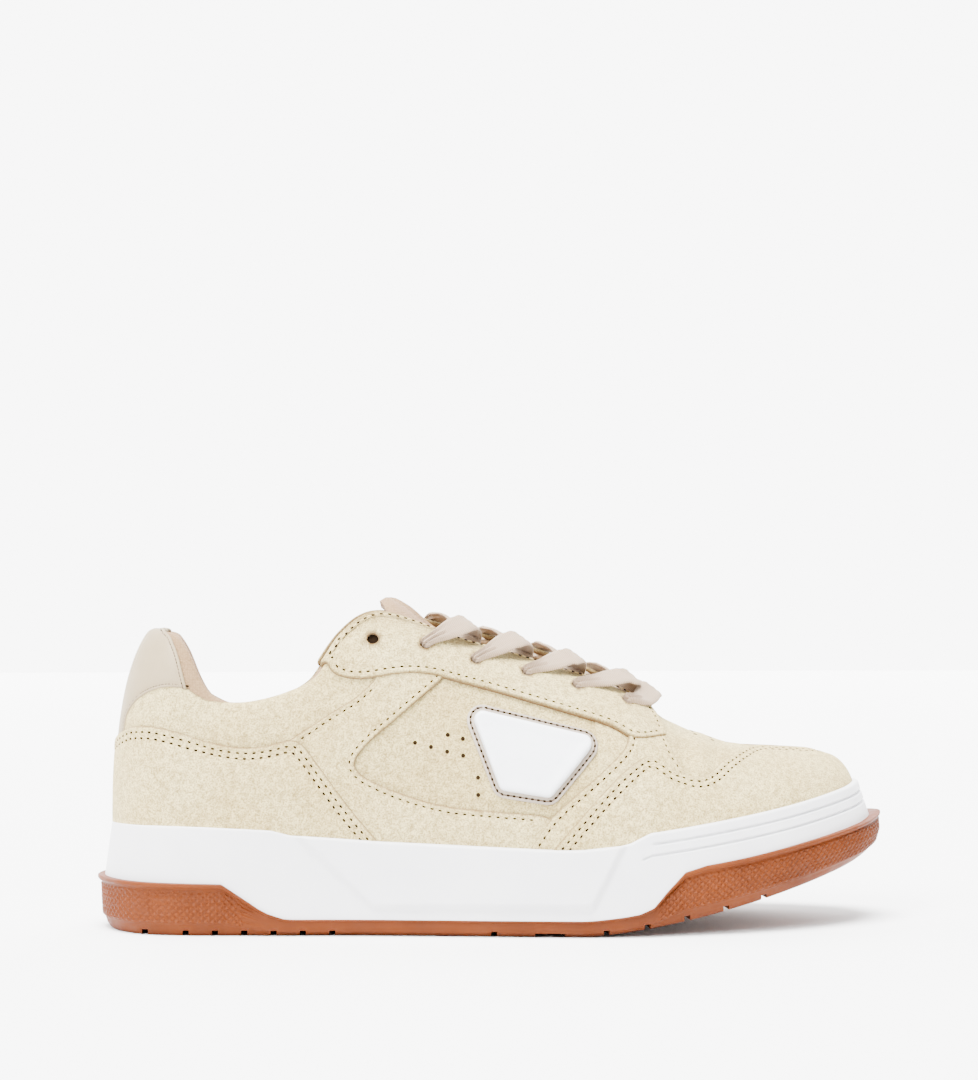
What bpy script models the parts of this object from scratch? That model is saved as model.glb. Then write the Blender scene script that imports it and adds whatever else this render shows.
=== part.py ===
"""A low suede skate shoe for the right foot, standing empty on its cup sole.

The frame is in metres: +X runs from heel to toe, -Y is the outer side, +Z is up,
and the origin is under the middle of the shoe, on the floor.
Every solid comes from one last: a plan outline at the foot bed, and a top line that
the sections climb to. A station is the share of the way from heel to toe along the outline.
"""

import bisect
import math

import bmesh
import bpy
from mathutils import Matrix, Vector

# Driving sizes, in metres
LENGTH = 0.296            # over the rubber lips at heel and toe
BALL_WIDTH = 0.0965       # of the upper, which the outline's reaches are shares of
BACK_HEIGHT = 0.0845      # heel tab above the foot bed
HEEL_STACK = 0.026        # floor to foot bed at the heel
CUP_RIM = 0.0138          # cup edge above the foot bed at the heel
TOE_SPRING = 0.0235       # rise of the tread at SPRING_END
SLAB = 0.0057             # rubber under the midsole
RUBBER_WRAP = 0.0138      # rubber wall above the slab at heel and toe
RUBBER_WALL = 0.0032
OVERLAY = 0.0010          # thickness of the cut suede pieces
UPPER_WALL = 0.0022
COLLAR_PADDING = 0.0060   # added to the wall at the collar
BELLY = 0.0014            # swell of the sides between sole and top line
INSOLE = 0.0040
TONGUE = 0.0050
LACE_WIDTH = 0.0080
LACE_THICK = 0.0013
LACE_CLEARANCE = 0.0021   # under the flat lace, where the eyestay curves away
EYELET_RADIUS = 0.0021
EYELETS_TO_THROAT = 0.017492  # from the last eyelets forward to the throat's end
EYELETS = 6
GROOVE_WIDTH = 0.0022
GROOVE_DEPTH = 0.0020
BADGE_RAISE = 0.0028      # moulded side plate, above the panel it sits on
BACKING = 0.0008          # leather under the side plate
EYELET_INSET = 0.0098     # from the throat's edge to the eyelets
FIRST_EYELET = 0.1005     # from the heel, along the shoe
TONGUE_CLEARANCE = 0.0012 # under the wall of the upper, whose facets cut inside its curve
TONGUE_TUCK = 0.0120      # how far the tongue reaches under the eyestays
INSOLE_GAP = 0.0012       # between the insole's edge and the wall of the upper
GAP = 0.0003              # between neighbouring pieces

# Shape values without a length of their own
SPRING_START, SPRING_END, SPRING_POWER = 0.590, 0.9625, 1.38
HEEL_SWEEP = math.radians(75)   # how far round the section's arc the heel tab reaches
HEEL_SWEEP_FULL, HEEL_SWEEP_GONE = 0.10, 0.27   # stations between which it fades
HEIGHT_POWER = 0.92
TONGUE_TOP, TONGUE_END = 0.390, 0.765   # stations between which the tongue runs
TONGUE_STEPS = 4
LACE_BOW = 0.018                # how far forward the front bar bows, in stations
OUTER, INNER = -1, 1            # sides, as the sign of Y

# Plan of the upper at the foot bed: place along LENGTH, reach of the outer and of the
# inner side as shares of BALL_WIDTH. The first and last rows are the ends.
OUTLINE = (
    ("place", "outer", "inner"),
    (0.0257, 0.031, 0.031),
    (0.0368, -0.117, 0.179),
    (0.066, -0.230, 0.292),
    (0.119, -0.290, 0.352),
    (0.203, -0.321, 0.356),
    (0.304, -0.342, 0.342),
    (0.405, -0.389, 0.347),
    (0.507, -0.446, 0.383),
    (0.591, -0.485, 0.440),
    (0.659, -0.495, 0.482),
    (0.726, -0.475, 0.497),
    (0.794, -0.420, 0.476),
    (0.851, -0.342, 0.430),
    (0.902, -0.236, 0.350),
    (0.943, -0.100, 0.255),
    (0.961, 0.085, 0.085),
)

# Top line: station, place along LENGTH, half width as a share of BALL_WIDTH, height above
# the foot bed as a share of BACK_HEIGHT, and power of the section's side (less is boxier).
TOP_LINE = (
    ("station", "place", "half", "height", "power"),
    (0.000, 0.071, 0.000, 1.000, 1.00),
    (0.035, 0.075, 0.068, 1.001, 1.00),
    (0.068, 0.088, 0.130, 0.998, 1.00),
    (0.097, 0.103, 0.177, 0.978, 1.00),
    (0.120, 0.118, 0.214, 0.910, 1.00),
    (0.137, 0.132, 0.240, 0.800, 1.00),
    (0.152, 0.145, 0.260, 0.735, 1.00),
    (0.176, 0.169, 0.286, 0.702, 1.00),
    (0.205, 0.196, 0.302, 0.709, 1.00),
    (0.242, 0.233, 0.312, 0.748, 1.00),
    (0.276, 0.267, 0.304, 0.808, 0.95),
    (0.298, 0.287, 0.286, 0.905, 0.88),
    (0.319, 0.307, 0.262, 0.997, 0.80),
    (0.343, 0.331, 0.238, 1.067, 0.73),
    (0.368, 0.355, 0.220, 1.085, 0.70),
    (0.402, 0.392, 0.203, 1.056, 0.73),
    (0.454, 0.449, 0.188, 0.989, 0.80),
    (0.518, 0.520, 0.177, 0.930, 0.88),
    (0.580, 0.591, 0.161, 0.862, 0.95),
    (0.632, 0.649, 0.141, 0.782, 1.00),
    (0.672, 0.689, 0.099, 0.697, 1.00),
    (0.688, 0.706, 0.052, 0.654, 1.00),
    (0.697, 0.7145, 0.000, 0.631, 1.00),
    (0.716, 0.733, 0.000, 0.595, 0.98),
    (0.759, 0.774, 0.000, 0.522, 0.94),
    (0.813, 0.821, 0.000, 0.465, 0.90),
    (0.867, 0.865, 0.000, 0.426, 0.86),
    (0.920, 0.895, 0.000, 0.396, 0.83),
    (0.960, 0.908, 0.000, 0.377, 0.81),
    (1.000, 0.9155, 0.000, 0.363, 0.80),
)
# Rise of the foot's form over the open throat, against the throat's half width.
ARCH = (("station", "rise"), (0.36, 0.50), (0.42, 0.36), (0.50, 0.24), (0.60, 0.20), (0.66, 0.16), (0.69, 0.0))
THROAT_END = 0.697        # station where the throat closes into the vamp

# Middle of the foot, as a share of BALL_WIDTH towards the inner side.
MIDDLE = (("place", "shift"), (0.0, 0.031), (0.5, 0.041), (0.71, 0.055), (0.86, 0.080), (1.0, 0.085))
# Floor to foot bed, as a share of HEEL_STACK, before the toe spring is added.
STACK = (("place", "share"), (0.0, 1.0), (0.2, 0.97), (0.4, 0.87), (0.57, 0.77), (0.62, 0.756),
         (0.70, 0.677), (0.77, 0.602), (0.85, 0.498), (0.9625, 0.348), (1.0, 0.292))
# Cup edge above the foot bed, as a share of CUP_RIM. It steps at both ends of the arch.
RIM = (
    ("place", "share"),
    (0.000, 1.00), (0.130, 0.99), (0.215, 0.93), (0.238, 0.82), (0.350, 0.76), (0.470, 0.78),
    (0.560, 0.80), (0.636, 0.88), (0.646, 0.92), (0.672, 1.15), (0.700, 1.18), (0.796, 1.26),
    (0.870, 1.33), (0.960, 1.43), (1.000, 1.46),
)
# Rubber wall above the slab, as a share of RUBBER_WRAP.
WRAP = (
    ("place", "share"),
    (0.000, 1.00), (0.154, 0.95), (0.187, 0.48), (0.205, 0.22), (0.228, 0.05), (0.240, 0.03),
    (0.640, 0.03), (0.657, 0.04), (0.674, 0.14), (0.690, 0.48), (0.713, 0.90), (0.740, 0.95),
    (0.794, 0.87), (0.871, 0.78), (0.958, 0.65), (1.000, 0.60),
)
# Outwards from the upper's outline, in metres, by station: the rubber's lip, the foot of the
# cup's wall and the cup's edge.
REACH = (
    ("station", "rubber", "foot", "edge"),
    (0.00, 0.0076, 0.0050, 0.0022), (0.10, 0.0072, 0.0048, 0.0026), (0.20, 0.0062, 0.0050, 0.0030),
    (0.35, 0.0058, 0.0054, 0.0030), (0.60, 0.0058, 0.0054, 0.0030), (0.70, 0.0062, 0.0052, 0.0030),
    (0.85, 0.0078, 0.0058, 0.0028), (0.95, 0.0102, 0.0066, 0.0026), (1.00, 0.0115, 0.0070, 0.0024),
)
# Rubber wall: height as a share of the whole wall, and how far it stands back from the lip
# at the heel and at the toe.
RUBBER_PROFILE = (("height", "heel", "toe"), (0.0, 0.0050, 0.0085), (0.22, 0.0028, 0.0026),
                  (0.55, 0.0014, 0.0000), (0.88, 0.0012, 0.0006), (0.93, 0.0, 0.0), (1.0, 0.0, 0.0))
# Grooves round the cup's toe: below the edge, half height and depth.
TOE_GROOVES = (("below", "half", "depth"), (0.0080, 0.0006, 0.0008), (0.0040, 0.0006, 0.0008))
GROOVE_START, GROOVE_FULL = 0.655, 0.690   # places between which they deepen
EDGE_ROUND = 0.0006       # easing of the cup's outer edge
# Faceted panel of the cup under the arch: place, and height above the floor in metres.
PANEL = ((0.231, 0.040), (0.337, 0.0101), (0.603, 0.0105), (0.645, 0.034), (0.650, 0.040))
PANEL_RAISE = 0.0010
# The inner side's top line against the outer one, as a share of BACK_HEIGHT.
INNER_LIFT = (("station", "share"), (0.0, 0.0), (0.10, 0.0), (0.18, -0.033), (0.26, -0.033),
              (0.33, -0.012), (0.36, 0.0), (0.45, 0.040), (0.55, 0.055), (0.62, 0.040), (0.68, 0.0), (1.0, 0.0))

# Stations with a section, beside those at the places where the sole steps.
SECTIONS = (0.0, 0.035, 0.066, 0.096, 0.120, 0.137, 0.182, 0.276, 0.298, 0.319, 0.343,
            0.372, 0.412, 0.462, 0.520, 0.580, 0.697, 0.730, 0.775, 0.820, 0.865, 0.910, 0.955, 1.0)
STEP_PLACES = (0.187, 0.215, 0.238, 0.640, 0.657, 0.674, 0.690)
ROWS_IN_CUP, ROWS_ABOVE = 1, 5

# Edges of the suede pieces seen from the side: place along LENGTH, and height above the
# foot bed as a share of BACK_HEIGHT.
COUNTER_EDGE = ((0.000, 0.455), (0.022, 0.476), (0.040, 0.556), (0.053, 0.577), (0.078, 0.577),
                (0.109, 0.548), (0.147, 0.513), (0.183, 0.499), (0.208, 0.509), (0.230, 0.532),
                (0.243, 0.540), (0.256, 0.512), (0.270, 0.446), (0.294, 0.332), (0.315, 0.238),
                (0.343, 0.127), (0.372, 0.010), (0.390, -0.060))
COLLAR_SEAM = ((0.243, 0.548), (0.270, 0.616), (0.295, 0.674), (0.317, 0.725), (0.333, 0.775), (0.352, 0.830))
TAB_EDGE = ((0.037, 0.400), (0.037, 0.574), (0.040, 0.624), (0.048, 0.672), (0.062, 0.716),
            (0.084, 0.746), (0.113, 0.740))
TAB_FRONT = ((0.113, 0.740), (0.108, 0.803), (0.101, 0.888), (0.093, 0.970), (0.082, 1.040), (0.060, 1.090))
EYESTAY_EDGE = ((0.262, 0.900), (0.277, 0.862), (0.295, 0.815), (0.320, 0.799), (0.348, 0.817),
                (0.380, 0.836), (0.411, 0.832), (0.442, 0.809), (0.495, 0.767), (0.536, 0.733),
                (0.586, 0.689), (0.619, 0.654), (0.641, 0.617), (0.650, 0.582))
STRAP_EDGE = ((0.650, 0.582), (0.6435, 0.538), (0.615, 0.452), (0.581, 0.352), (0.553, 0.263),
              (0.530, 0.148), (0.510, 0.050), (0.495, -0.060))
STRAP_TOP = ((0.650, 0.582), (0.660, 0.584), (0.674, 0.579), (0.694, 0.566), (0.7017, 0.569))
FRONT_EDGE = ((0.670, 0.840), (0.680, 0.760), (0.686, 0.705), (0.697, 0.636), (0.7017, 0.569),
              (0.708, 0.488), (0.719, 0.421), (0.732, 0.330), (0.732, -0.060))
GUARD_EDGE = ((0.532, -0.060), (0.545, 0.040), (0.557, 0.140), (0.582, 0.243), (0.608, 0.339),
              (0.633, 0.425), (0.655, 0.482), (0.672, 0.508), (0.686, 0.496), (0.700, 0.450),
              (0.717, 0.410), (0.738, 0.391), (0.758, 0.413), (0.778, 0.447), (0.799, 0.460), (0.840, 0.462))
WINDOW = ((0.419, 0.800), (0.395, 0.730), (0.362, 0.625), (0.334, 0.545), (0.319, 0.478),
          (0.315, 0.448), (0.321, 0.411), (0.346, 0.364), (0.376, 0.327), (0.407, 0.297),
          (0.438, 0.280), (0.489, 0.272), (0.530, 0.268), (0.549, 0.262))
# Plain four-sided plate that stands on the window's front half.
BADGE = ((0.455, 0.690), (0.492, 0.345), (0.552, 0.335), (0.612, 0.585))
BADGE_BACKING = 1.14      # its stitched backing, as a multiple of the plate

# Channels across the tread: place of the first along LENGTH, count, and pitch in metres.
CHANNELS = (("first", "count", "pitch"), (0.0615, 1, 0.0), (0.111, 6, 0.0105), (0.483, 1, 0.0), (0.618, 5, 0.0148))
ARCH_RECESS = (0.532, 0.568)    # places between which the tread stands clear of the floor

COLOURS = {
    "suede": (0.80, 0.74, 0.62), "suede_light": (0.83, 0.78, 0.67), "leather": (0.60, 0.52, 0.46),
    "lining": (0.66, 0.56, 0.50), "lace": (0.70, 0.61, 0.56), "cup": (0.88, 0.88, 0.88),
    "rubber": (0.55, 0.22, 0.08), "plate": (0.86, 0.87, 0.88),
}


# Curves and tables

def smooth(knots, values, at):
    """Value at a place on a smooth curve through the knots, held at its ends."""
    if at <= knots[0]:
        return values[0]
    if at >= knots[-1]:
        return values[-1]
    i = max(k for k in range(len(knots) - 1) if knots[k] <= at)

    def slope(k):
        low, high = max(k - 1, 0), min(k + 1, len(knots) - 1)
        return (values[high] - values[low]) / (knots[high] - knots[low])

    span = knots[i + 1] - knots[i]
    t = (at - knots[i]) / span
    return (
        values[i] * (1 + 2 * t) * (1 - t) ** 2
        + slope(i) * span * t * (1 - t) ** 2
        + values[i + 1] * t * t * (3 - 2 * t)
        + slope(i + 1) * span * t * t * (t - 1)
    )


def straight(knots, values, at):
    """Value at a place on straight lines through the knots."""
    for i in range(len(knots) - 1):
        if at <= knots[i + 1]:
            t = max(0.0, (at - knots[i]) / (knots[i + 1] - knots[i]))
            return values[i] + (values[i + 1] - values[i]) * t
    return values[-1]


def column(table, name):
    place = table[0].index(name)
    return [row[place] for row in table[1:]]


def read(table, name, at, way=smooth):
    """The named column of a table at a place or station, whose column is the first."""
    return way(column(table, table[0][0]), column(table, name), at)


def ease(at, start, end):
    t = min(1.0, max(0.0, (at - start) / (end - start)))
    return t * t * (3 - 2 * t)


# The last

def place_of(x):
    """Share of LENGTH from the heel for a coordinate."""
    return x / LENGTH + 0.5


def spring(x):
    t = max(0.0, (place_of(x) - SPRING_START) / (SPRING_END - SPRING_START))
    return TOE_SPRING * t ** SPRING_POWER


def foot_bed(x):
    return spring(x) + HEEL_STACK * read(STACK, "share", place_of(x))


def cup_edge(x):
    return foot_bed(x) + CUP_RIM * read(RIM, "share", place_of(x), straight)


def slab_top(x):
    return spring(x) + SLAB


def rubber_edge(x):
    return slab_top(x) + RUBBER_WRAP * read(WRAP, "share", place_of(x), straight)


def outline_loop():
    """The whole plan outline as fine points, from the heel round the outer side to the toe and back."""
    rows = OUTLINE[1:]
    loop = [(row[0], row[1]) for row in rows] + [(row[0], row[2]) for row in reversed(rows[1:-1])]
    loop = [Vector(((p - 0.5) * LENGTH, r * BALL_WIDTH)) for p, r in loop]
    wrapped = loop[-3:] + loop + loop[:4]
    knots = [0.0]
    for a, b in zip(wrapped, wrapped[1:]):
        knots.append(knots[-1] + (b - a).length)
    xs, ys = [p.x for p in wrapped], [p.y for p in wrapped]
    heel, toe, heel_again = knots[3], knots[3 + len(rows) - 1], knots[3 + len(loop)]
    sides = {}
    for side, start, end in ((OUTER, heel, toe), (INNER, heel_again, toe)):
        steps = 240
        at = [start + (end - start) * i / steps for i in range(steps + 1)]
        points = [Vector((smooth(knots, xs, t), smooth(knots, ys, t))) for t in at]
        run = [0.0]
        for a, b in zip(points, points[1:]):
            run.append(run[-1] + (b - a).length)
        sides[side] = ([r / run[-1] for r in run], points)
    return sides


SIDES = outline_loop()


def outline(station, side, out=0.0):
    """Plan point at a station, moved outwards by out."""
    shares, points = SIDES[side]
    if station < 1e-6 or station > 1 - 1e-6:
        end, away = (0, -1.0) if station < 0.5 else (-1, 1.0)
        return points[end] + Vector((away, 0.0)) * out
    i = bisect.bisect(shares, station) - 1
    t = (station - shares[i]) / (shares[i + 1] - shares[i])
    along = (points[min(i + 2, len(points) - 1)] - points[max(i - 1, 0)]).normalized()
    outwards = Vector((-along.y, along.x)) * side
    return points[i].lerp(points[i + 1], t) + outwards * out


def middle(x):
    return BALL_WIDTH * read(MIDDLE, "shift", place_of(x))


def top_point(station, side):
    x = (read(TOP_LINE, "place", station) - 0.5) * LENGTH
    half = BALL_WIDTH * max(0.0, read(TOP_LINE, "half", station)) if station < THROAT_END - 1e-6 else 0.0
    lift = read(INNER_LIFT, "share", station) if side == INNER else 0.0
    height = foot_bed(x) + BACK_HEIGHT * (read(TOP_LINE, "height", station) + lift)
    return Vector((x, middle(x) + side * half, height)), half


def sweep(station, side):
    """How far round its arc the section at a station runs: a right angle where it is closed."""
    _, half = top_point(station, side)
    foot = outline(station, side)
    reach = max(abs(foot.y - middle(foot.x)), half / 0.98, 1e-6)
    power = read(TOP_LINE, "power", station)
    own = math.acos(min(1.0, half / reach) ** (1 / power))
    return HEEL_SWEEP + (own - HEEL_SWEEP) * ease(station, HEEL_SWEEP_FULL, HEEL_SWEEP_GONE)


def skin(station, angle, side):
    """Point of the finished upper's surface, angle radians round the section's arc."""
    foot, (top, _) = outline(station, side), top_point(station, side)
    full, power = sweep(station, side), read(TOP_LINE, "power", station)
    low = foot_bed(foot.x) + GAP
    lean = (1 - max(0.0, math.cos(angle)) ** power) / (1 - max(0.0, math.cos(full)) ** power)
    rise = (math.sin(angle) / math.sin(full)) ** HEIGHT_POWER
    swell = BELLY * math.sin(math.pi * min(1.0, angle / full))
    out = outline(station, side, swell) - foot
    return Vector((foot.x + (top.x - foot.x) * lean + out.x,
                   foot.y + (top.y - foot.y) * lean + out.y,
                   low + (top.z - low) * rise))


def angle_at(station, side, height):
    """Angle round the arc at which the section reaches a height."""
    foot, (top, _) = outline(station, side), top_point(station, side)
    low = foot_bed(foot.x) + GAP
    share = max(0.0, height - low) / (top.z - low)
    return math.asin(min(1.0, share ** (1 / HEIGHT_POWER) * math.sin(sweep(station, side))))


def station_of(place):
    """Station at which the outer side's outline passes a place."""
    shares, points = SIDES[OUTER]
    i = min(range(len(points)), key=lambda k: abs(place_of(points[k].x) - place))
    return shares[i]


STATIONS = sorted(list(SECTIONS) + [station_of(place) for place in STEP_PLACES])


def section_angles(station, side):
    """Angles of the rows: foot bed, inside the cup, cup edge, then up to the top line."""
    foot = outline(station, side)
    at_edge = angle_at(station, side, cup_edge(foot.x))
    full = sweep(station, side)
    inside = [at_edge * i / ROWS_IN_CUP for i in range(ROWS_IN_CUP)]
    return inside + [at_edge + (full - at_edge) * i / ROWS_ABOVE for i in range(ROWS_ABOVE + 1)]


# Making objects

def clear_scene():
    for obj in list(bpy.data.objects):
        bpy.data.objects.remove(obj)


def collection(name, shown=True):
    made = bpy.data.collections.new(name)
    made.hide_render = not shown
    bpy.context.scene.collection.children.link(made)
    return made


def material(name, roughness):
    made = bpy.data.materials.get(name)
    if made is None:
        made = bpy.data.materials.new(name)
        made.use_nodes = True
        shader = made.node_tree.nodes["Principled BSDF"]
        shader.inputs["Base Color"].default_value = (*COLOURS[name], 1.0)
        shader.inputs["Roughness"].default_value = roughness
        shader.inputs["Metallic"].default_value = 0.0
    return made


def make_object(name, bm, home, finish=None):
    mesh = bpy.data.meshes.new(name)
    bm.to_mesh(mesh)
    bm.free()
    obj = bpy.data.objects.new(name, mesh)
    home.objects.link(obj)
    if finish:
        mesh.materials.append(material(finish, 0.35 if finish in ("cup", "plate") else 0.85))
    return obj


def cut(obj, cutter, operation="DIFFERENCE"):
    modifier = obj.modifiers.new("cut", "BOOLEAN")
    modifier.operation = operation
    modifier.object = cutter


def helper(obj):
    obj.hide_render = True
    obj.display_type = "WIRE"
    return obj


def shell_surface(name, home, finish, depth):
    """The upper's surface, depth inside the finished one, as an open mesh of sections."""
    bm = bmesh.new()
    grid = {}
    for side in (OUTER, INNER):
        for i, station in enumerate(STATIONS):
            for j, angle in enumerate(section_angles(station, side)):
                shared = station in (0.0, 1.0) or (
                    station >= THROAT_END and j == ROWS_IN_CUP + ROWS_ABOVE)
                if shared and side == INNER:
                    grid[side, i, j] = grid[OUTER, i, j]
                else:
                    grid[side, i, j] = bm.verts.new(skin(station, angle, side))
    for side in (OUTER, INNER):
        for i in range(len(STATIONS) - 1):
            for j in range(ROWS_IN_CUP + ROWS_ABOVE):
                corners = [grid[side, i, j], grid[side, i + 1, j], grid[side, i + 1, j + 1], grid[side, i, j + 1]]
                bm.faces.new(corners if side == OUTER else corners[::-1])
    bmesh.ops.triangulate(bm, faces=bm.faces, quad_method="SHORT_EDGE")
    obj = make_object(name, bm, home, finish)
    if depth:
        moved = obj.modifiers.new("inset", "DISPLACE")
        moved.mid_level = 0.0
        moved.strength = -depth
    return obj


def thicken(obj, thickness, group="", least=1.0):
    solid = obj.modifiers.new("wall", "SOLIDIFY")
    solid.thickness = thickness
    solid.offset = -1.0
    if group:
        solid.vertex_group = group
        solid.thickness_vertex_group = least


def smoothed_line(points, steps=2):
    """More points on a smooth curve through the given ones, in shares."""
    knots = [0.0]
    for a, b in zip(points, points[1:]):
        knots.append(knots[-1] + math.hypot((b[0] - a[0]) * LENGTH, (b[1] - a[1]) * BACK_HEIGHT))
    xs, zs = [p[0] for p in points], [p[1] for p in points]
    made = []
    for a, b in zip(knots, knots[1:]):
        made += [(smooth(knots, xs, a + (b - a) * i / steps), smooth(knots, zs, a + (b - a) * i / steps))
                 for i in range(steps)]
    return made + [points[-1]]


def in_metres(points):
    made = []
    for place, share in points:
        x = (place - 0.5) * LENGTH
        made.append(Vector((x, foot_bed(x) + share * BACK_HEIGHT)))
    return made


def shifted(line, by):
    """A line of side-view points moved sideways, to its left where by is positive."""
    made = []
    for i, point in enumerate(line):
        along = (line[min(i + 1, len(line) - 1)] - line[max(i - 1, 0)]).normalized()
        made.append(point + Vector((-along.y, along.x)) * by)
    return made


def prism(name, home, outline_points, low=-1.0, high=1.0):
    """A cutter: the side-view outline pulled across the shoe between two shares of BALL_WIDTH."""
    bm = bmesh.new()
    near = [bm.verts.new((p.x, low * BALL_WIDTH, p.y)) for p in outline_points]
    face = bm.faces.new(near)
    far = bmesh.ops.extrude_face_region(bm, geom=[face])
    pulled = [v for v in far["geom"] if isinstance(v, bmesh.types.BMVert)]
    bmesh.ops.translate(bm, verts=pulled, vec=(0, (high - low) * BALL_WIDTH, 0))
    bmesh.ops.recalc_face_normals(bm, faces=bm.faces)
    return helper(make_object(name, bm, home))


# Sole

def ring_solid(name, home, finish, profile):
    """A closed solid from the profile at each station of both sides, floored and lidded across."""
    bm = bmesh.new()
    grid = {}
    last = len(STATIONS) - 1
    for side in (OUTER, INNER):
        for i, station in enumerate(STATIONS):
            for k, point in enumerate(profile(station, side)):
                shared = side == INNER and i in (0, last)
                grid[side, i, k] = grid[OUTER, i, k] if shared else bm.verts.new(point)
    rows = 1 + max(key[2] for key in grid)
    for i in range(last):
        for side in (OUTER, INNER):
            for k in range(rows - 1):
                bm.faces.new((grid[side, i, k], grid[side, i + 1, k], grid[side, i + 1, k + 1], grid[side, i, k + 1]))
        for k in (0, rows - 1):
            corners = (grid[OUTER, i, k], grid[OUTER, i + 1, k], grid[INNER, i + 1, k], grid[INNER, i, k])
            bm.faces.new(list(dict.fromkeys(corners)))
    bmesh.ops.recalc_face_normals(bm, faces=bm.faces)
    bmesh.ops.triangulate(bm, faces=bm.faces, quad_method="SHORT_EDGE")
    return make_object(name, bm, home, finish)


def at(station, side, out, height):
    """Point out from the upper's outline, at a height that is a function of its own x."""
    plan = outline(station, side, out)
    return Vector((plan.x, plan.y, height(plan.x)))


def rubber_inside(station):
    """How far out the rubber wall's inner face is, kept under the foot of the cup's wall."""
    return min(read(REACH, "rubber", station) - RUBBER_WALL, read(REACH, "foot", station) - GAP)


def rubber_profile(station, side):
    lip = read(REACH, "rubber", station)
    at_toe = ease(station, 0.60, 0.97)
    rows = []
    for share, heel, toe in RUBBER_PROFILE[1:]:
        out = lip - heel - (toe - heel) * at_toe
        rows.append(at(station, side, out, lambda x: spring(x) + (rubber_edge(x) - spring(x)) * share))
    rows.append(at(station, side, rubber_inside(station), rubber_edge))
    rows.append(at(station, side, rubber_inside(station), slab_top))
    return rows


def cup_side(station, side, below, sunk=0.0):
    """Point of the cup's outer wall, below its edge and sunk into it."""
    foot_out, edge_out = read(REACH, "foot", station), read(REACH, "edge", station)
    x = outline(station, side, edge_out).x
    wall = cup_edge(x) - rubber_edge(x) - GAP
    share = min(1.0, below / wall)
    return at(station, side, edge_out + (foot_out - edge_out) * share - sunk,
              lambda own: cup_edge(own) - (cup_edge(own) - rubber_edge(own) - GAP) * share)


def cup_profile(station, side):
    hidden = rubber_inside(station) - GAP
    rows = [at(station, side, hidden, lambda x: slab_top(x) + GAP),
            at(station, side, hidden, lambda x: rubber_edge(x) + GAP),
            cup_side(station, side, LENGTH)]
    deep = ease(place_of(outline(station, side).x), GROOVE_START, GROOVE_FULL)
    for below, half, depth in TOE_GROOVES[1:]:
        rows.append(cup_side(station, side, below + half))
        rows.append(cup_side(station, side, below, depth * deep))
        rows.append(cup_side(station, side, below - half))
    rows.append(cup_side(station, side, EDGE_ROUND))
    rows.append(cup_side(station, side, 0.0, EDGE_ROUND))
    angles = section_angles(station, side)[:ROWS_IN_CUP + 1]
    for angle in reversed(angles):
        point = skin(station, angle, side)
        away = outline(station, side, GAP) - outline(station, side)
        point += Vector((away.x, away.y, 0.0))
        if angle == angles[-1]:
            point.z = cup_edge(point.x)
        if angle == angles[0]:
            point.z = foot_bed(point.x)
        rows.append(point)
    return rows


def make_outsole(home, cutters):
    outsole = ring_solid("outsole", home, "rubber", rubber_profile)
    bm = bmesh.new()
    spots = []
    for first, count, pitch in CHANNELS[1:]:
        spots += [((first - 0.5) * LENGTH + n * pitch, GROOVE_WIDTH, GROOVE_DEPTH) for n in range(count)]
    low, high = ARCH_RECESS
    spots.append((((low + high) / 2 - 0.5) * LENGTH, (high - low) * LENGTH, 0.75 * GROOVE_DEPTH))
    for x, width, depth in spots:
        made = bmesh.ops.create_cube(bm, size=1.0)["verts"]
        bmesh.ops.scale(bm, verts=made, vec=(width, 2 * BALL_WIDTH, 2 * depth))
        slope = math.atan2(spring(x + width) - spring(x - width), 2 * width)
        bmesh.ops.rotate(bm, verts=made, cent=(0, 0, 0), matrix=Matrix.Rotation(-slope, 3, "Y"))
        bmesh.ops.translate(bm, verts=made, vec=(x, 0, spring(x)))
    cut(outsole, helper(make_object("channels", bm, cutters)))


def make_midsole(home, cutters):
    midsole = ring_solid("midsole", home, "cup", cup_profile)
    bm = bmesh.new()
    strip = [s for s in STATIONS if 0.18 < s < 0.70]
    for side in (OUTER, INNER):
        rows = [[bm.verts.new(cup_side(s, side, below, PANEL_RAISE)) for below in (LENGTH, 0.0130, EDGE_ROUND)]
                for s in strip]
        for a, b in zip(rows, rows[1:]):
            for k in range(2):
                corners = [a[k], b[k], b[k + 1], a[k + 1]]
                bm.faces.new(corners if side == OUTER else corners[::-1])
    panel = helper(make_object("arch_panel", bm, cutters))
    solid = panel.modifiers.new("wall", "SOLIDIFY")
    solid.thickness = 2 * PANEL_RAISE
    solid.offset = 1.0
    points = [Vector(((place - 0.5) * LENGTH, height)) for place, height in PANEL]
    cut(panel, prism("arch_zone", cutters, points), "INTERSECT")
    cut(midsole, panel, "UNION")


def make_insole(home):
    inset = -(UPPER_WALL + INSOLE_GAP)

    def profile(station, side):
        return [at(station, side, inset, lambda x: foot_bed(x) + GAP),
                at(station, side, inset, lambda x: foot_bed(x) + INSOLE)]

    ring_solid("insole", home, "lining", profile)


# Upper and the pieces sewn over it

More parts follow.
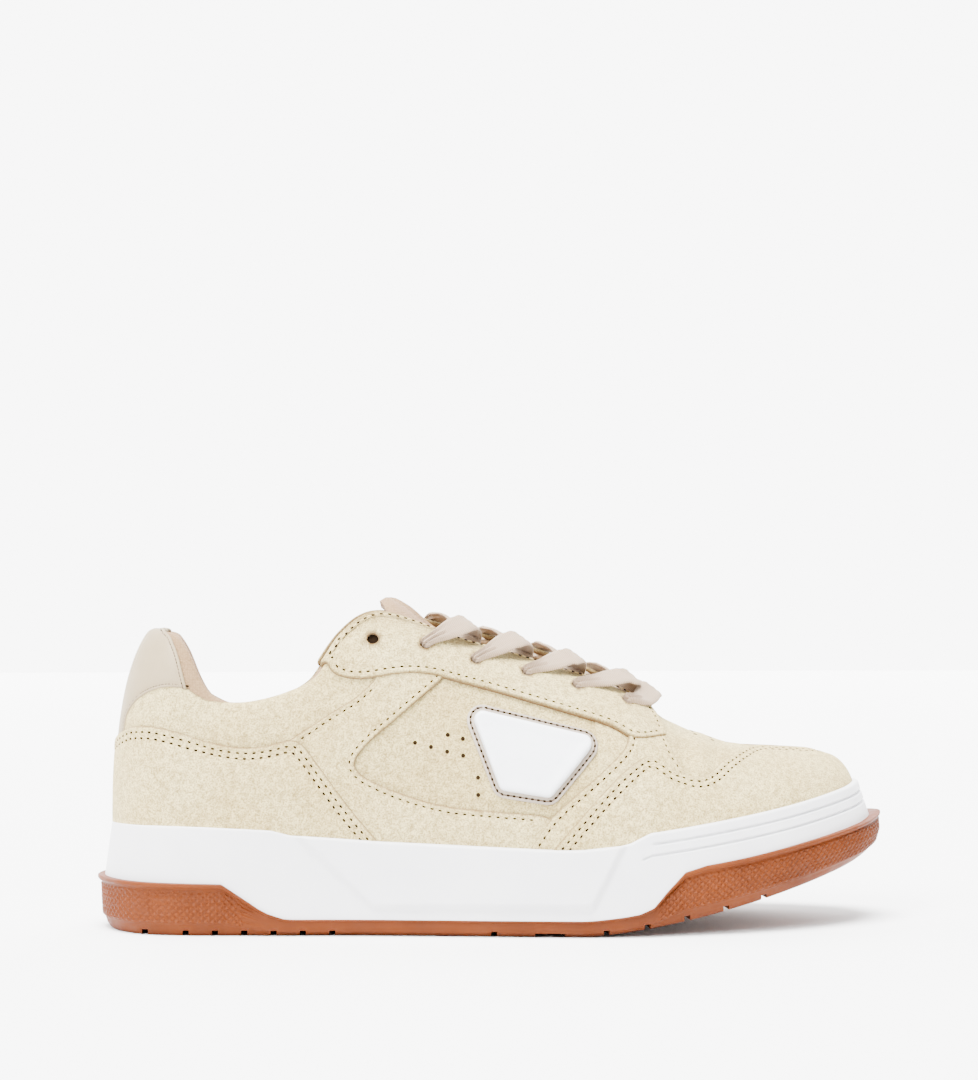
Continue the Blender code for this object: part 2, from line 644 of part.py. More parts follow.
def form_point(station, side, across):
    """Point of the foot's own form, across from its middle; it arches over the open throat."""
    foot, (top, half) = outline(station, side), top_point(station, side)
    low = foot_bed(foot.x) + GAP
    reach = max(abs(foot.y - middle(foot.x)), half / 0.98)
    power = read(TOP_LINE, "power", station)
    share = min(1.0, across / reach)
    lean = (1 - share) / (1 - half / reach)
    if across >= half:
        full = math.acos(min(1.0, half / reach) ** (1 / power))
        angle = math.acos(share ** (1 / power))
        height = low + (top.z - low) * (math.sin(angle) / math.sin(full)) ** HEIGHT_POWER
    else:
        both = (top.z + top_point(station, -side)[0].z) / 2
        rise = both + read(ARCH, "rise", station) * half
        height = top.z + (rise - top.z) * (1 - (across / half) ** 2)
    return Vector((foot.x + (top.x - foot.x) * lean, foot.y + (top.y - foot.y) * lean, height))


def form_normal(station, side, across):
    step = 0.0005
    along = form_point(station + 0.002, side, across) - form_point(station - 0.002, side, across)
    over = form_point(station, side, across + step) - form_point(station, side, max(0.0, across - step))
    normal = along.cross(over).normalized()
    return normal if normal.z > 0 else -normal


def across_at(station, side, inset):
    """Distance from the middle of the point that lies inset outwards of the throat's edge."""
    half = top_point(station, side)[1]
    edge = form_point(station, side, half)
    low, high = half, half + inset
    for _ in range(14):
        across = (low + high) / 2
        if (form_point(station, side, across) - edge).length < inset:
            low = across
        else:
            high = across
    return across


def eyelet_spot(number, side):
    """Station and distance across of an eyelet, counted from the top and evenly spaced along the shoe."""
    first = FIRST_EYELET - LENGTH / 2
    last = top_point(THROAT_END, side)[0].x - EYELETS_TO_THROAT
    goal = first + (last - first) * number / (EYELETS - 1)
    low, high = 0.25, THROAT_END - 0.005
    for _ in range(18):
        station = (low + high) / 2
        across = across_at(station, side, EYELET_INSET)
        if form_point(station, side, across).x < goal:
            low = station
        else:
            high = station
    return station, across


def make_upper(home, eyelets):
    upper = shell_surface("upper", home, "suede", 0.0)
    group = upper.vertex_groups.new(name="padding")
    index = 0
    for side in (OUTER, INNER):
        for station in STATIONS:
            for row in range(ROWS_IN_CUP + ROWS_ABOVE + 1):
                shared = side == INNER and (station in (0.0, 1.0) or (
                    station >= THROAT_END and row == ROWS_IN_CUP + ROWS_ABOVE))
                if shared:
                    continue
                along = 1.0 - ease(station, 0.27, 0.33)
                up = ease(row - ROWS_IN_CUP, 0.35 * ROWS_ABOVE, 0.85 * ROWS_ABOVE)
                group.add([index], along * up, "REPLACE")
                index += 1
    thicken(upper, UPPER_WALL + COLLAR_PADDING, "padding", UPPER_WALL / (UPPER_WALL + COLLAR_PADDING))
    cut(upper, eyelets)


def overlay(name, home, finish, base, thickness, keep, remove):
    """A sheet of the upper's surface, base above it, kept inside one zone and clear of others."""
    piece = shell_surface(name, home, finish, -base)
    solid = piece.modifiers.new("sheet", "SOLIDIFY")
    solid.thickness = thickness
    solid.offset = 1.0
    cut(piece, keep, "INTERSECT")
    for zone in remove:
        cut(piece, zone)
    return piece


def counter_zone(grow=0.0):
    edge = shifted(in_metres(smoothed_line(COUNTER_EDGE)), grow)
    return in_metres([(-0.10, -0.2), (-0.10, COUNTER_EDGE[0][1])]) + edge + in_metres([(0.39, -0.2)])


def tab_zone(grow=0.0):
    edge = shifted(in_metres(smoothed_line(TAB_EDGE) + list(TAB_FRONT[1:])), -grow)
    return edge + in_metres([(-0.10, 1.2), (-0.10, 0.40)])


def eyestay_zone(grow=0.0):
    edge = shifted(in_metres(smoothed_line(EYESTAY_EDGE) + list(STRAP_TOP[1:])), -grow)
    front = in_metres(list(reversed(FRONT_EDGE[:4])))
    return edge + front + in_metres([(0.60, 1.3), (0.262, 1.3)])


def strap_zone(grow=0.0):
    rear = shifted(in_metres(smoothed_line(STRAP_EDGE)), -grow)
    front = in_metres(FRONT_EDGE[4:])
    top = in_metres(STRAP_TOP[1:-1])
    return list(reversed(front)) + list(reversed(top)) + rear


def guard_zone(grow=0.0):
    edge = shifted(in_metres(smoothed_line(GUARD_EDGE)), grow)
    return edge + in_metres([(0.845, 1.0), (1.1, 1.0), (1.1, -0.3), (0.532, -0.3)])


def quarter_zone():
    return (in_metres([(0.15, -0.1), (0.228, 0.50)]) + in_metres(smoothed_line(COLLAR_SEAM))
            + in_metres([(0.37, 0.90), (0.70, 0.90), (0.70, -0.1)]))


def window_zone():
    return in_metres(smoothed_line(WINDOW)) + in_metres([(0.70, 0.262), (0.70, 0.95), (0.43, 0.95)])


def cup_zone():
    """Everything below the cup's edge as it is modelled, on either side and at either face of its wall."""
    lines = []
    for side in (OUTER, INNER):
        outer = [cup_side(s, side, 0.0) for s in STATIONS]
        inner = [at(s, side, -OVERLAY, cup_edge) for s in STATIONS]
        lines += [([p.x for p in line], [p.z for p in line]) for line in (outer, inner)]
    top = []
    for x in lines[0][0]:
        nearby = (x - 3 * OVERLAY, x, x + 3 * OVERLAY)
        top.append(Vector((x, max((straight(xs, zs, x) + straight(xs, zs, n)) / 2 for xs, zs in lines for n in nearby))))
    top = [point + Vector((0.0, GAP)) for point in top]
    high, low = LENGTH, -0.2 * LENGTH
    return [Vector((-high, top[0].y))] + top + [Vector((high, top[-1].y)), Vector((high, low)), Vector((-high, low))]


def badge_zone(scale):
    corners = in_metres(BADGE)
    centre = sum(corners, Vector((0.0, 0.0))) / len(corners)
    return [centre + (corner - centre) * scale for corner in corners]


def make_eyelet_cutter(cutters):
    bm = bmesh.new()
    for side in (OUTER, INNER):
        for number in range(EYELETS):
            station, across = eyelet_spot(number, side)
            normal = form_normal(station, side, across)
            turn = normal.to_track_quat("Z", "Y").to_matrix().to_4x4()
            place = Matrix.Translation(form_point(station, side, across))
            bmesh.ops.create_cone(bm, cap_ends=True, segments=8, radius1=EYELET_RADIUS, radius2=EYELET_RADIUS,
                                  depth=0.016, matrix=place @ turn)
    return helper(make_object("eyelets", bm, cutters))


def make_overlays(home, cutters, eyelets):
    under_cup = prism("under_cup", cutters, cup_zone())
    counter = prism("counter_zone", cutters, counter_zone())
    guard = prism("guard_zone", cutters, guard_zone())
    near_counter = prism("near_counter", cutters, counter_zone(GAP))
    near_guard = prism("near_guard", cutters, guard_zone(GAP))
    near_tab = prism("near_tab", cutters, tab_zone(GAP))
    near_eyestay = prism("near_eyestay", cutters, eyestay_zone(GAP))
    near_strap = prism("near_strap", cutters, strap_zone(GAP))
    window = prism("window", cutters, window_zone())
    overlay("heel_counter", home, "suede_light", GAP, OVERLAY, counter, [under_cup])
    overlay("toe_guard", home, "suede_light", GAP, OVERLAY, guard, [under_cup])
    overlay("heel_tab", home, "leather", GAP, OVERLAY, prism("tab_zone", cutters, tab_zone()), [near_counter])
    for label, low, high in (("outer", -1.0, 0.0), ("inner", 0.0, 1.0)):
        def zone(name, points):
            return prism(f"{name}_{label}", cutters, points, low, high)

        overlay(f"eyestay_{label}", home, "suede_light", GAP, OVERLAY, zone("eyestay_zone", eyestay_zone()),
                [near_tab, eyelets])
        overlay(f"strap_{label}", home, "suede_light", GAP, OVERLAY, zone("strap_zone", strap_zone()),
                [near_eyestay, near_guard, under_cup])
        overlay(f"quarter_{label}", home, "suede_light", GAP, OVERLAY, zone("quarter_zone", quarter_zone()),
                [near_counter, near_eyestay, near_strap, window, under_cup])
        overlay(f"badge_backing_{label}", home, "leather", GAP, BACKING,
                zone("backing_zone", badge_zone(BADGE_BACKING)), [])
        overlay(f"badge_{label}", home, "plate", 2 * GAP + BACKING, BADGE_RAISE - BACKING - 2 * GAP,
                zone("badge_zone", badge_zone(1.0)), [])


# Tongue and lace

def tongue_row(station, side):
    """Points of the tongue from under the eyestay to beside its middle."""
    half = top_point(station, side)[1]
    wide = across_at(station, side, TONGUE_TUCK)
    bend = max(half, wide / 3)
    spread = [wide, (wide + bend) / 2] + [bend * (1 - k / TONGUE_STEPS) for k in range(TONGUE_STEPS)]
    return [form_point(station, side, across) for across in spread]


def make_tongue(home):
    bm = bmesh.new()
    rows = []
    for station in [s for s in STATIONS if TONGUE_TOP < s < TONGUE_END]:
        centre = (form_point(station, OUTER, 0.0) + form_point(station, INNER, 0.0)) / 2
        row = tongue_row(station, OUTER) + [centre] + list(reversed(tongue_row(station, INNER)))
        rows.append([bm.verts.new(point) for point in row])
    for a, b in zip(rows, rows[1:]):
        for k in range(len(a) - 1):
            bm.faces.new((a[k], b[k], b[k + 1], a[k + 1]))
    tongue = make_object("tongue", bm, home, "lining")
    sunk = tongue.modifiers.new("sunk", "DISPLACE")
    sunk.mid_level = 0.0
    sunk.strength = -(UPPER_WALL + TONGUE_CLEARANCE)
    thicken(tongue, TONGUE)


def ribbon(name, home, points, normals, finish=None):
    """A flat band along the points, lying square to the normals."""
    bm = bmesh.new()
    rows = []
    for i, (point, normal) in enumerate(zip(points, normals)):
        along = (points[min(i + 1, len(points) - 1)] - points[max(i - 1, 0)]).normalized()
        across = along.cross(normal).normalized()
        up = across.cross(along).normalized()
        corners = ((-1, -1), (1, -1), (1, 1), (-1, 1))
        rows.append([bm.verts.new(point + across * (LACE_WIDTH / 2 * a) + up * (LACE_THICK / 2 * b))
                     for a, b in corners])
    for a, b in zip(rows, rows[1:]):
        for k in range(4):
            bm.faces.new((a[k], a[(k + 1) % 4], b[(k + 1) % 4], b[k]))
    bm.faces.new(rows[0])
    bm.faces.new(rows[-1])
    bmesh.ops.recalc_face_normals(bm, faces=bm.faces)
    return make_object(name, bm, home, finish)


def lace_run(start, end, lift, bow=0.0):
    """Points and normals from an outer eyelet over the tongue to an inner one."""
    points, normals = [], []
    steps = 9
    high = GAP + OVERLAY + LACE_CLEARANCE + LACE_THICK / 2
    low = LACE_CLEARANCE + LACE_THICK / 2 - UPPER_WALL - TONGUE_CLEARANCE
    for k in range(steps + 1):
        t = k / steps
        signed = -start[1] + (end[1] + start[1]) * t
        station = start[0] + (end[0] - start[0]) * t + bow * 4 * t * (1 - t)
        side = OUTER if signed < 0 else INNER
        half = top_point(station, side)[1]
        across = abs(signed)
        point, normal = form_point(station, side, across), form_normal(station, side, across)
        over = ease(across, 0.20 * half, 0.70 * half)
        points.append(point + normal * (low + (high - low) * over + lift))
        normals.append(normal)
    return points, normals


def make_lace(home, cutters):
    """The front bar and the crossings up to the second eyelets, joined where they meet."""
    spots = {(n, side): eyelet_spot(n, side) for n in range(1, EYELETS) for side in (OUTER, INNER)}
    last = EYELETS - 1
    points, normals = lace_run(spots[last, OUTER], spots[last, INNER], 0.0, LACE_BOW)
    lace = ribbon("lace", home, points, normals, "lace")
    for n in range(1, last):
        for name, start, end, lift in (
            (f"over_{n}", spots[n, OUTER], spots[n + 1, INNER], LACE_THICK * 0.55),
            (f"under_{n}", spots[n + 1, OUTER], spots[n, INNER], LACE_THICK * 0.10),
        ):
            points, normals = lace_run(start, end, lift)
            cut(lace, helper(ribbon(name, cutters, points, normals)), "UNION")


def main():
    clear_scene()
    home = collection("skate_shoe")
    cutters = collection("cutters", shown=False)
    make_outsole(home, cutters)
    make_midsole(home, cutters)
    make_insole(home)
    eyelets = make_eyelet_cutter(cutters)
    make_upper(home, eyelets)
    make_overlays(home, cutters, eyelets)
    make_tongue(home)
    make_lace(home, cutters)


main()
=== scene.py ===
"""Low suede skate shoe for the right foot: the finish of every surface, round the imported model.

The last's own functions are repeated here, so that each sewn piece lies on the same form
as the solid that it stands for. Lengths are metres; +X is the toe and -Y the outer side.
"""

import bisect
import math

import bmesh
import bpy
import numpy as np
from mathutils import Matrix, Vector, kdtree
from mathutils.geometry import delaunay_2d_cdt


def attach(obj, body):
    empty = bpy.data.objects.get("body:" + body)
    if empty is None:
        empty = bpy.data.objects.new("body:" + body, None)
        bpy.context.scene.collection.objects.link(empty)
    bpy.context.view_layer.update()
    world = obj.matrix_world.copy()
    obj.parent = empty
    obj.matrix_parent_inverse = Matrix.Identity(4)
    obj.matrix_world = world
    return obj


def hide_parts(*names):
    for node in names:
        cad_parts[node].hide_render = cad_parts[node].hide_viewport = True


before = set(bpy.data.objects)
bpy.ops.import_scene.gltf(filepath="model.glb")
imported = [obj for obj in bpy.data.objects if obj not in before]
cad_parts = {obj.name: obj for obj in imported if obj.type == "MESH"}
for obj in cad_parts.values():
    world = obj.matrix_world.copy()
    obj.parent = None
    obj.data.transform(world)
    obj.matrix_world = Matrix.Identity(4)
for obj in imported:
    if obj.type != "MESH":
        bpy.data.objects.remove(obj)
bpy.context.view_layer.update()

MM = 0.001

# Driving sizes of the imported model
LENGTH = 0.296            # over the rubber lips at heel and toe
BALL_WIDTH = 0.0965
BACK_HEIGHT = 0.0845      # heel tab above the foot bed
HEEL_STACK = 0.026        # floor to foot bed at the heel
CUP_RIM = 0.0138
TOE_SPRING = 0.0235
SLAB = 0.0057
RUBBER_WRAP = 0.0138
RUBBER_WALL = 0.0032
UPPER_WALL = 0.0022
COLLAR_PADDING = 0.0060
BELLY = 0.0014
TONGUE = 0.0050
EYELET_RADIUS = 0.0021
EYELETS_TO_THROAT = 0.017492
EYELETS = 6
EYELET_INSET = 0.0098
FIRST_EYELET = 0.1005
TONGUE_CLEARANCE = 0.0012
GAP = 0.0003
GROOVE_WIDTH = 0.0022
GROOVE_DEPTH = 0.0020
SPRING_START, SPRING_END, SPRING_POWER = 0.590, 0.9625, 1.38
HEEL_SWEEP, HEEL_SWEEP_FULL, HEEL_SWEEP_GONE = math.radians(75), 0.10, 0.27
HEIGHT_POWER = 0.92
THROAT_END = 0.697
OUTER, INNER = -1, 1
LABELS = {OUTER: "outer", INNER: "inner"}

# Sizes that only the finish has
SUEDE = 1.5 * MM          # sewn pieces of thick suede
LIGHT_SUEDE = 1.1 * MM    # pieces that lie under them
OVERLAP = 0.55 * MM       # lift of a thick piece where it covers its neighbours
COLLAR_SUEDE = 0.55 * MM  # over the collar's padding
QUARTER_BASE, STRAP_BASE, TAB_BASE = 0.2 * MM, 0.35 * MM, 0.35 * MM    # lifts of the pieces between
LEATHER = 0.9 * MM
PLATE = 2.6 * MM
UNDERLAP = 3.0 * MM       # how far a piece runs under its neighbour
IN_CUP = 2.5 * MM         # how far the pieces run down inside the cup
STITCH_PITCH = 3.0 * MM
STITCH_SHARE = 0.72       # share of the pitch that a stitch covers
STITCH_SINK = 0.15 * MM   # how deep the stitches lie in the suede
HOLE_SINK = 0.02 * MM
THREAD_WIDTH, THREAD_HEIGHT, STITCH_DIP = 0.62 * MM, 0.55 * MM, 0.18 * MM
EYELET_SHADE_HEIGHT = 0.5 * MM     # how high the dark bead of painted shade in an eyelet lies over the last
EYELET_CORNERS = 16
LACE_WIDTH = 9.2 * MM
LACE_THICK = 1.5 * MM

OUTLINE = (
    ("place", "outer", "inner"),
    (0.0257, 0.031, 0.031),
    (0.0368, -0.117, 0.179),
    (0.066, -0.230, 0.292),
    (0.119, -0.290, 0.352),
    (0.203, -0.321, 0.356),
    (0.304, -0.342, 0.342),
    (0.405, -0.389, 0.347),
    (0.507, -0.446, 0.383),
    (0.591, -0.485, 0.440),
    (0.659, -0.495, 0.482),
    (0.726, -0.475, 0.497),
    (0.794, -0.420, 0.476),
    (0.851, -0.342, 0.430),
    (0.902, -0.236, 0.350),
    (0.943, -0.100, 0.255),
    (0.961, 0.085, 0.085),
)
TOP_LINE = (
    ("station", "place", "half", "height", "power"),
    (0.000, 0.071, 0.000, 1.000, 1.00),
    (0.035, 0.075, 0.068, 1.001, 1.00),
    (0.068, 0.088, 0.130, 0.998, 1.00),
    (0.097, 0.103, 0.177, 0.978, 1.00),
    (0.120, 0.118, 0.214, 0.910, 1.00),
    (0.137, 0.132, 0.240, 0.800, 1.00),
    (0.152, 0.145, 0.260, 0.735, 1.00),
    (0.176, 0.169, 0.286, 0.702, 1.00),
    (0.205, 0.196, 0.302, 0.709, 1.00),
    (0.242, 0.233, 0.312, 0.748, 1.00),
    (0.276, 0.267, 0.304, 0.808, 0.95),
    (0.298, 0.287, 0.286, 0.905, 0.88),
    (0.319, 0.307, 0.262, 0.997, 0.80),
    (0.343, 0.331, 0.238, 1.067, 0.73),
    (0.368, 0.355, 0.220, 1.085, 0.70),
    (0.402, 0.392, 0.203, 1.056, 0.73),
    (0.454, 0.449, 0.188, 0.989, 0.80),
    (0.518, 0.520, 0.177, 0.930, 0.88),
    (0.580, 0.591, 0.161, 0.862, 0.95),
    (0.632, 0.649, 0.141, 0.782, 1.00),
    (0.672, 0.689, 0.099, 0.697, 1.00),
    (0.688, 0.706, 0.052, 0.654, 1.00),
    (0.697, 0.7145, 0.000, 0.631, 1.00),
    (0.716, 0.733, 0.000, 0.595, 0.98),
    (0.759, 0.774, 0.000, 0.522, 0.94),
    (0.813, 0.821, 0.000, 0.465, 0.90),
    (0.867, 0.865, 0.000, 0.426, 0.86),
    (0.920, 0.895, 0.000, 0.396, 0.83),
    (0.960, 0.908, 0.000, 0.377, 0.81),
    (1.000, 0.9155, 0.000, 0.363, 0.80),
)
ARCH = (("station", "rise"), (0.36, 0.50), (0.42, 0.36), (0.50, 0.24), (0.60, 0.20), (0.66, 0.16),
        (0.69, 0.0))
MIDDLE = (("place", "shift"), (0.0, 0.031), (0.5, 0.041), (0.71, 0.055), (0.86, 0.080), (1.0, 0.085))
STACK = (("place", "share"), (0.0, 1.0), (0.2, 0.97), (0.4, 0.87), (0.57, 0.77), (0.62, 0.756),
         (0.70, 0.677), (0.77, 0.602), (0.85, 0.498), (0.9625, 0.348), (1.0, 0.292))
RIM = (
    ("place", "share"),
    (0.000, 1.00), (0.130, 0.99), (0.215, 0.93), (0.238, 0.82), (0.350, 0.76), (0.470, 0.78),
    (0.560, 0.80), (0.636, 0.88), (0.646, 0.92), (0.672, 1.15), (0.700, 1.18), (0.796, 1.26),
    (0.870, 1.33), (0.960, 1.43), (1.000, 1.46),
)
WRAP = (
    ("place", "share"),
    (0.000, 1.00), (0.154, 0.95), (0.187, 0.48), (0.205, 0.22), (0.228, 0.05), (0.240, 0.03),
    (0.640, 0.03), (0.657, 0.04), (0.674, 0.14), (0.690, 0.48), (0.713, 0.90), (0.740, 0.95),
    (0.794, 0.87), (0.871, 0.78), (0.958, 0.65), (1.000, 0.60),
)
REACH = (
    ("station", "rubber", "foot", "edge"),
    (0.00, 0.0076, 0.0050, 0.0022), (0.10, 0.0072, 0.0048, 0.0026), (0.20, 0.0062, 0.0050, 0.0030),
    (0.35, 0.0058, 0.0054, 0.0030), (0.60, 0.0058, 0.0054, 0.0030), (0.70, 0.0062, 0.0052, 0.0030),
    (0.85, 0.0078, 0.0058, 0.0028), (0.95, 0.0102, 0.0066, 0.0026), (1.00, 0.0115, 0.0070, 0.0024),
)
INNER_LIFT = (("station", "share"), (0.0, 0.0), (0.10, 0.0), (0.18, -0.033), (0.26, -0.033),
              (0.33, -0.012), (0.36, 0.0), (0.45, 0.040), (0.55, 0.055), (0.62, 0.040), (0.68, 0.0),
              (1.0, 0.0))
CHANNELS = (("first", "count", "pitch"), (0.0615, 1, 0.0), (0.111, 6, 0.0105), (0.483, 1, 0.0),
            (0.618, 5, 0.0148))
ARCH_RECESS = (0.532, 0.568)

# Edges of the sewn pieces seen from the side, in millimetres from the heel and above the floor
COUNTER_EDGE = ((106.0, 28.5), (101.5, 34.3), (93.3, 44), (87, 52.1), (79.8, 62.1), (75.2, 68),
                (71.6, 70.4), (68, 69.8), (61.6, 68.1), (54.3, 67.4), (43.4, 69), (32.4, 72),
                (23.2, 74.5), (15.7, 74.7), (11.7, 73.2), (8.3, 69.5), (6.3, 65.7))
COLLAR_SEAM = ((100.5, 91.2), (98.5, 89.2), (93.8, 85.1), (87.3, 81.1), (79.9, 76.6), (71.6, 71.2),
               (66.0, 67.6))
TAB_LOWER = ((33.2, 88.2), (29.0, 88.9), (24.9, 88.8), (18.3, 86.3), (14, 82.4), (11.7, 78.6),
             (10.9, 74.3), (10.7, 66.5))
TAB_FRONT = ((24.6, 109.4), (27.3, 106.8), (29.9, 100.7), (31.8, 93.6), (33.2, 88.2))
COLLAR_REAR = ((54.0, 83.2), (48.0, 83.0), (42.0, 84.2), (37.0, 86.2), (33.0, 88.6), (28.0, 91.5))
EYESTAY_EDGE = ((81.0, 98.4), (83.5, 95.4), (87.3, 92.9), (94.8, 91.5), (103.1, 92.5), (112.4, 93.8),
                (121.7, 93), (130.9, 90.6), (146.5, 86.3), (158.6, 82.7), (173.4, 78.3), (183.2, 75.3),
                (189.9, 72.4), (193.6, 69.6), (199.5, 69.4), (207.6, 69.9))
EYESTAY_FRONT = ((207.6, 69.9), (206.4, 75.6), (203.6, 80.6))
STRAP_REAR = ((192.9, 72.4), (192.6, 69.4), (190.5, 65.8), (182.1, 58.3), (171.9, 49.9), (163.8, 42.7),
              (156.9, 33.2), (153.2, 27.5))
STRAP_FRONT = ((216.0, 52.0), (212.8, 58.2), (209.6, 63.5), (207.7, 70.1), (206.6, 74.0))
GUARD_EDGE = ((159.6, 26.2), (164.8, 31.9), (172.3, 40.5), (179.9, 48.8), (187.5, 56.2), (193.8, 61.1),
              (199, 63.5), (203.2, 62.7), (207.3, 59.1), (212.2, 56.4), (218.5, 55.4), (224.5, 57.7),
              (230.3, 61.0), (235.0, 62.4))
# The guard's edge goes on over the toe: millimetres from the heel and across from the middle.
GUARD_OVER_TOE = ((242.0, 13.0), (252.0, 10.2), (261.0, 7.2), (267.5, 3.8), (270.0, 0.0))
WINDOW = ((160.5, 43.2), (156.9, 43.7), (144.8, 44.6), (129.5, 46), (120.4, 47.8), (111.4, 50.5),
          (102.3, 54.1), (95, 58.3), (93.3, 61.4), (94.3, 64.2), (98.9, 69.4), (107.2, 76.5),
          (116.8, 84.6), (124.2, 90.6), (127.5, 93.8))
PLATE_CORNERS = ((134.7, 81.3), (145.6, 52.2), (163.4, 49.4), (181.2, 69.6))
PLATE_CORNER_RADIUS = 3.0
CORNER_STEPS = 8
BACKING_MARGIN = 2.6
# Moulded side of the plate: millimetres in from its edge, height over its base
PLATE_FORM = ((0.0, 0.8), (0.25, 2.2), (0.6, 2.75), (1.1, 3.0), (1.9, 3.05), (3.2, 2.8), (5.0, 2.65))
HOLES_BEHIND_PLATE = ((127.0, 72.0), (132.4, 70.6), (115.2, 69.2), (120.9, 67.7), (126.7, 66.0),
                      (132.4, 64.6), (137.6, 56.8), (137.6, 50.6))
# Millimetres from the heel and across from the middle
TOE_HOLES = ((222.0, 4.0), (222.0, 9.0), (222.0, 14.0), (229.0, 6.5), (229.0, 11.5), (236.0, 4.0))
# Stitch rows, in millimetres in from the edge
DOUBLE_ROW, STAY_ROW, STRAP_ROW = (2.2, 4.4), (2.4,), (2.2,)
QUARTER_ROW, TAB_ROW, BACKING_ROW = (1.9,), (1.1,), (1.25,)
# Places along the rim where the collar's suede goes under the eyestay, turns to climb, and ends behind
COLLAR_TOP_PLACES = (88.0, 70.0, 54.0)
# Shares up the section where pieces end on the rolled rim, and where the eyestay's edge turns up to it
COLLAR_CREST, STAY_CREST, TAB_CREST, STAY_TURN = 0.955, 0.975, 0.985, 0.80
UNDER_TAB = (0.012, 0.62)
WINDOW_PANEL = ((0.285, 0.18), (0.66, 0.18), (0.66, 0.93), (0.34, 0.93), (0.285, 0.60))
# Soft troughs and ridges pressed into the last's surface: station and share up the section at
# both ends, half width and depth in millimetres. A negative depth is a ridge.
CREASES = (
    ("side", "s0", "t0", "s1", "t1", "width", "depth"),
    (OUTER, 0.700, 0.40, 0.730, 0.98, 3.4, 0.55), (INNER, 0.700, 0.40, 0.730, 0.98, 3.4, 0.55),
    (OUTER, 0.722, 0.42, 0.758, 0.98, 3.0, -0.40), (INNER, 0.722, 0.42, 0.758, 0.98, 3.0, -0.40),
    (OUTER, 0.742, 0.46, 0.790, 0.97, 3.6, 0.50), (INNER, 0.745, 0.46, 0.792, 0.97, 3.6, 0.45),
    (OUTER, 0.640, 0.30, 0.668, 0.62, 4.0, 0.40), (INNER, 0.640, 0.30, 0.668, 0.62, 4.0, 0.40),
    (OUTER, 0.130, 0.62, 0.235, 0.60, 5.0, 0.55), (INNER, 0.130, 0.62, 0.235, 0.60, 5.0, 0.55),
    (OUTER, 0.100, 0.78, 0.250, 0.78, 6.5, -0.90), (INNER, 0.100, 0.78, 0.250, 0.78, 6.5, -0.90),
    (OUTER, 0.250, 0.66, 0.300, 0.80, 5.5, -0.50), (INNER, 0.250, 0.66, 0.300, 0.80, 5.5, -0.50),
    (OUTER, 0.060, 0.36, 0.110, 0.20, 7.0, 0.35), (INNER, 0.060, 0.36, 0.110, 0.20, 7.0, 0.35),
    (OUTER, 0.175, 0.42, 0.225, 0.26, 6.0, 0.30), (INNER, 0.175, 0.42, 0.225, 0.26, 6.0, 0.30),
)


# Curves and tables

def smooth(knots, values, at):
    """Value at a place on a smooth curve through the knots, held at its ends."""
    if at <= knots[0]:
        return values[0]
    if at >= knots[-1]:
        return values[-1]
    i = bisect.bisect_right(knots, at) - 1

    def slope(k):
        low, high = max(k - 1, 0), min(k + 1, len(knots) - 1)
        return (values[high] - values[low]) / (knots[high] - knots[low])

    span = knots[i + 1] - knots[i]
    t = (at - knots[i]) / span
    return (
        values[i] * (1 + 2 * t) * (1 - t) ** 2
        + slope(i) * span * t * (1 - t) ** 2
        + values[i + 1] * t * t * (3 - 2 * t)
        + slope(i + 1) * span * t * t * (t - 1)
    )


def straight(knots, values, at):
    """Value at a place on straight lines through the knots."""
    return float(np.interp(at, knots, values))


def columns_of(table):
    return {name: [row[i] for row in table[1:]] for i, name in enumerate(table[0])}


TABLES = {id(table): columns_of(table) for table in
          (OUTLINE, TOP_LINE, ARCH, MIDDLE, STACK, RIM, WRAP, REACH, INNER_LIFT)}


def read(table, name, at, way=smooth):
    """The named column of a table at a place or station, whose column is the first."""
    columns = TABLES[id(table)]
    return way(columns[table[0][0]], columns[name], at)


def ease(at, start, end):
    t = np.clip((at - start) / (end - start), 0.0, 1.0)
    return t * t * (3 - 2 * t)


# The last

def place_of(x):
    """Share of LENGTH from the heel for a coordinate."""
    return x / LENGTH + 0.5


def spring(x):
    t = max(0.0, (place_of(x) - SPRING_START) / (SPRING_END - SPRING_START))
    return TOE_SPRING * t ** SPRING_POWER


def foot_bed(x):
    return spring(x) + HEEL_STACK * read(STACK, "share", place_of(x))


def cup_edge(x):
    return foot_bed(x) + CUP_RIM * read(RIM, "share", place_of(x), straight)


def slab_top(x):
    return spring(x) + SLAB


def rubber_edge(x):
    return slab_top(x) + RUBBER_WRAP * read(WRAP, "share", place_of(x), straight)


def outline_loop():
    """The whole plan outline as fine points, from the heel round the outer side to the toe and back."""
    rows = OUTLINE[1:]
    loop = [(row[0], row[1]) for row in rows] + [(row[0], row[2]) for row in reversed(rows[1:-1])]
    loop = [Vector(((p - 0.5) * LENGTH, r * BALL_WIDTH)) for p, r in loop]
    wrapped = loop[-3:] + loop + loop[:4]
    knots = [0.0]
    for a, b in zip(wrapped, wrapped[1:]):
        knots.append(knots[-1] + (b - a).length)
    xs, ys = [p.x for p in wrapped], [p.y for p in wrapped]
    heel, toe, heel_again = knots[3], knots[3 + len(rows) - 1], knots[3 + len(loop)]
    sides = {}
    for side, start, end in ((OUTER, heel, toe), (INNER, heel_again, toe)):
        steps = 480
        at = [start + (end - start) * i / steps for i in range(steps + 1)]
        points = [Vector((smooth(knots, xs, t), smooth(knots, ys, t))) for t in at]
        run = [0.0]
        for a, b in zip(points, points[1:]):
            run.append(run[-1] + (b - a).length)
        sides[side] = ([r / run[-1] for r in run], points, run[-1])
    return sides


SIDES = outline_loop()


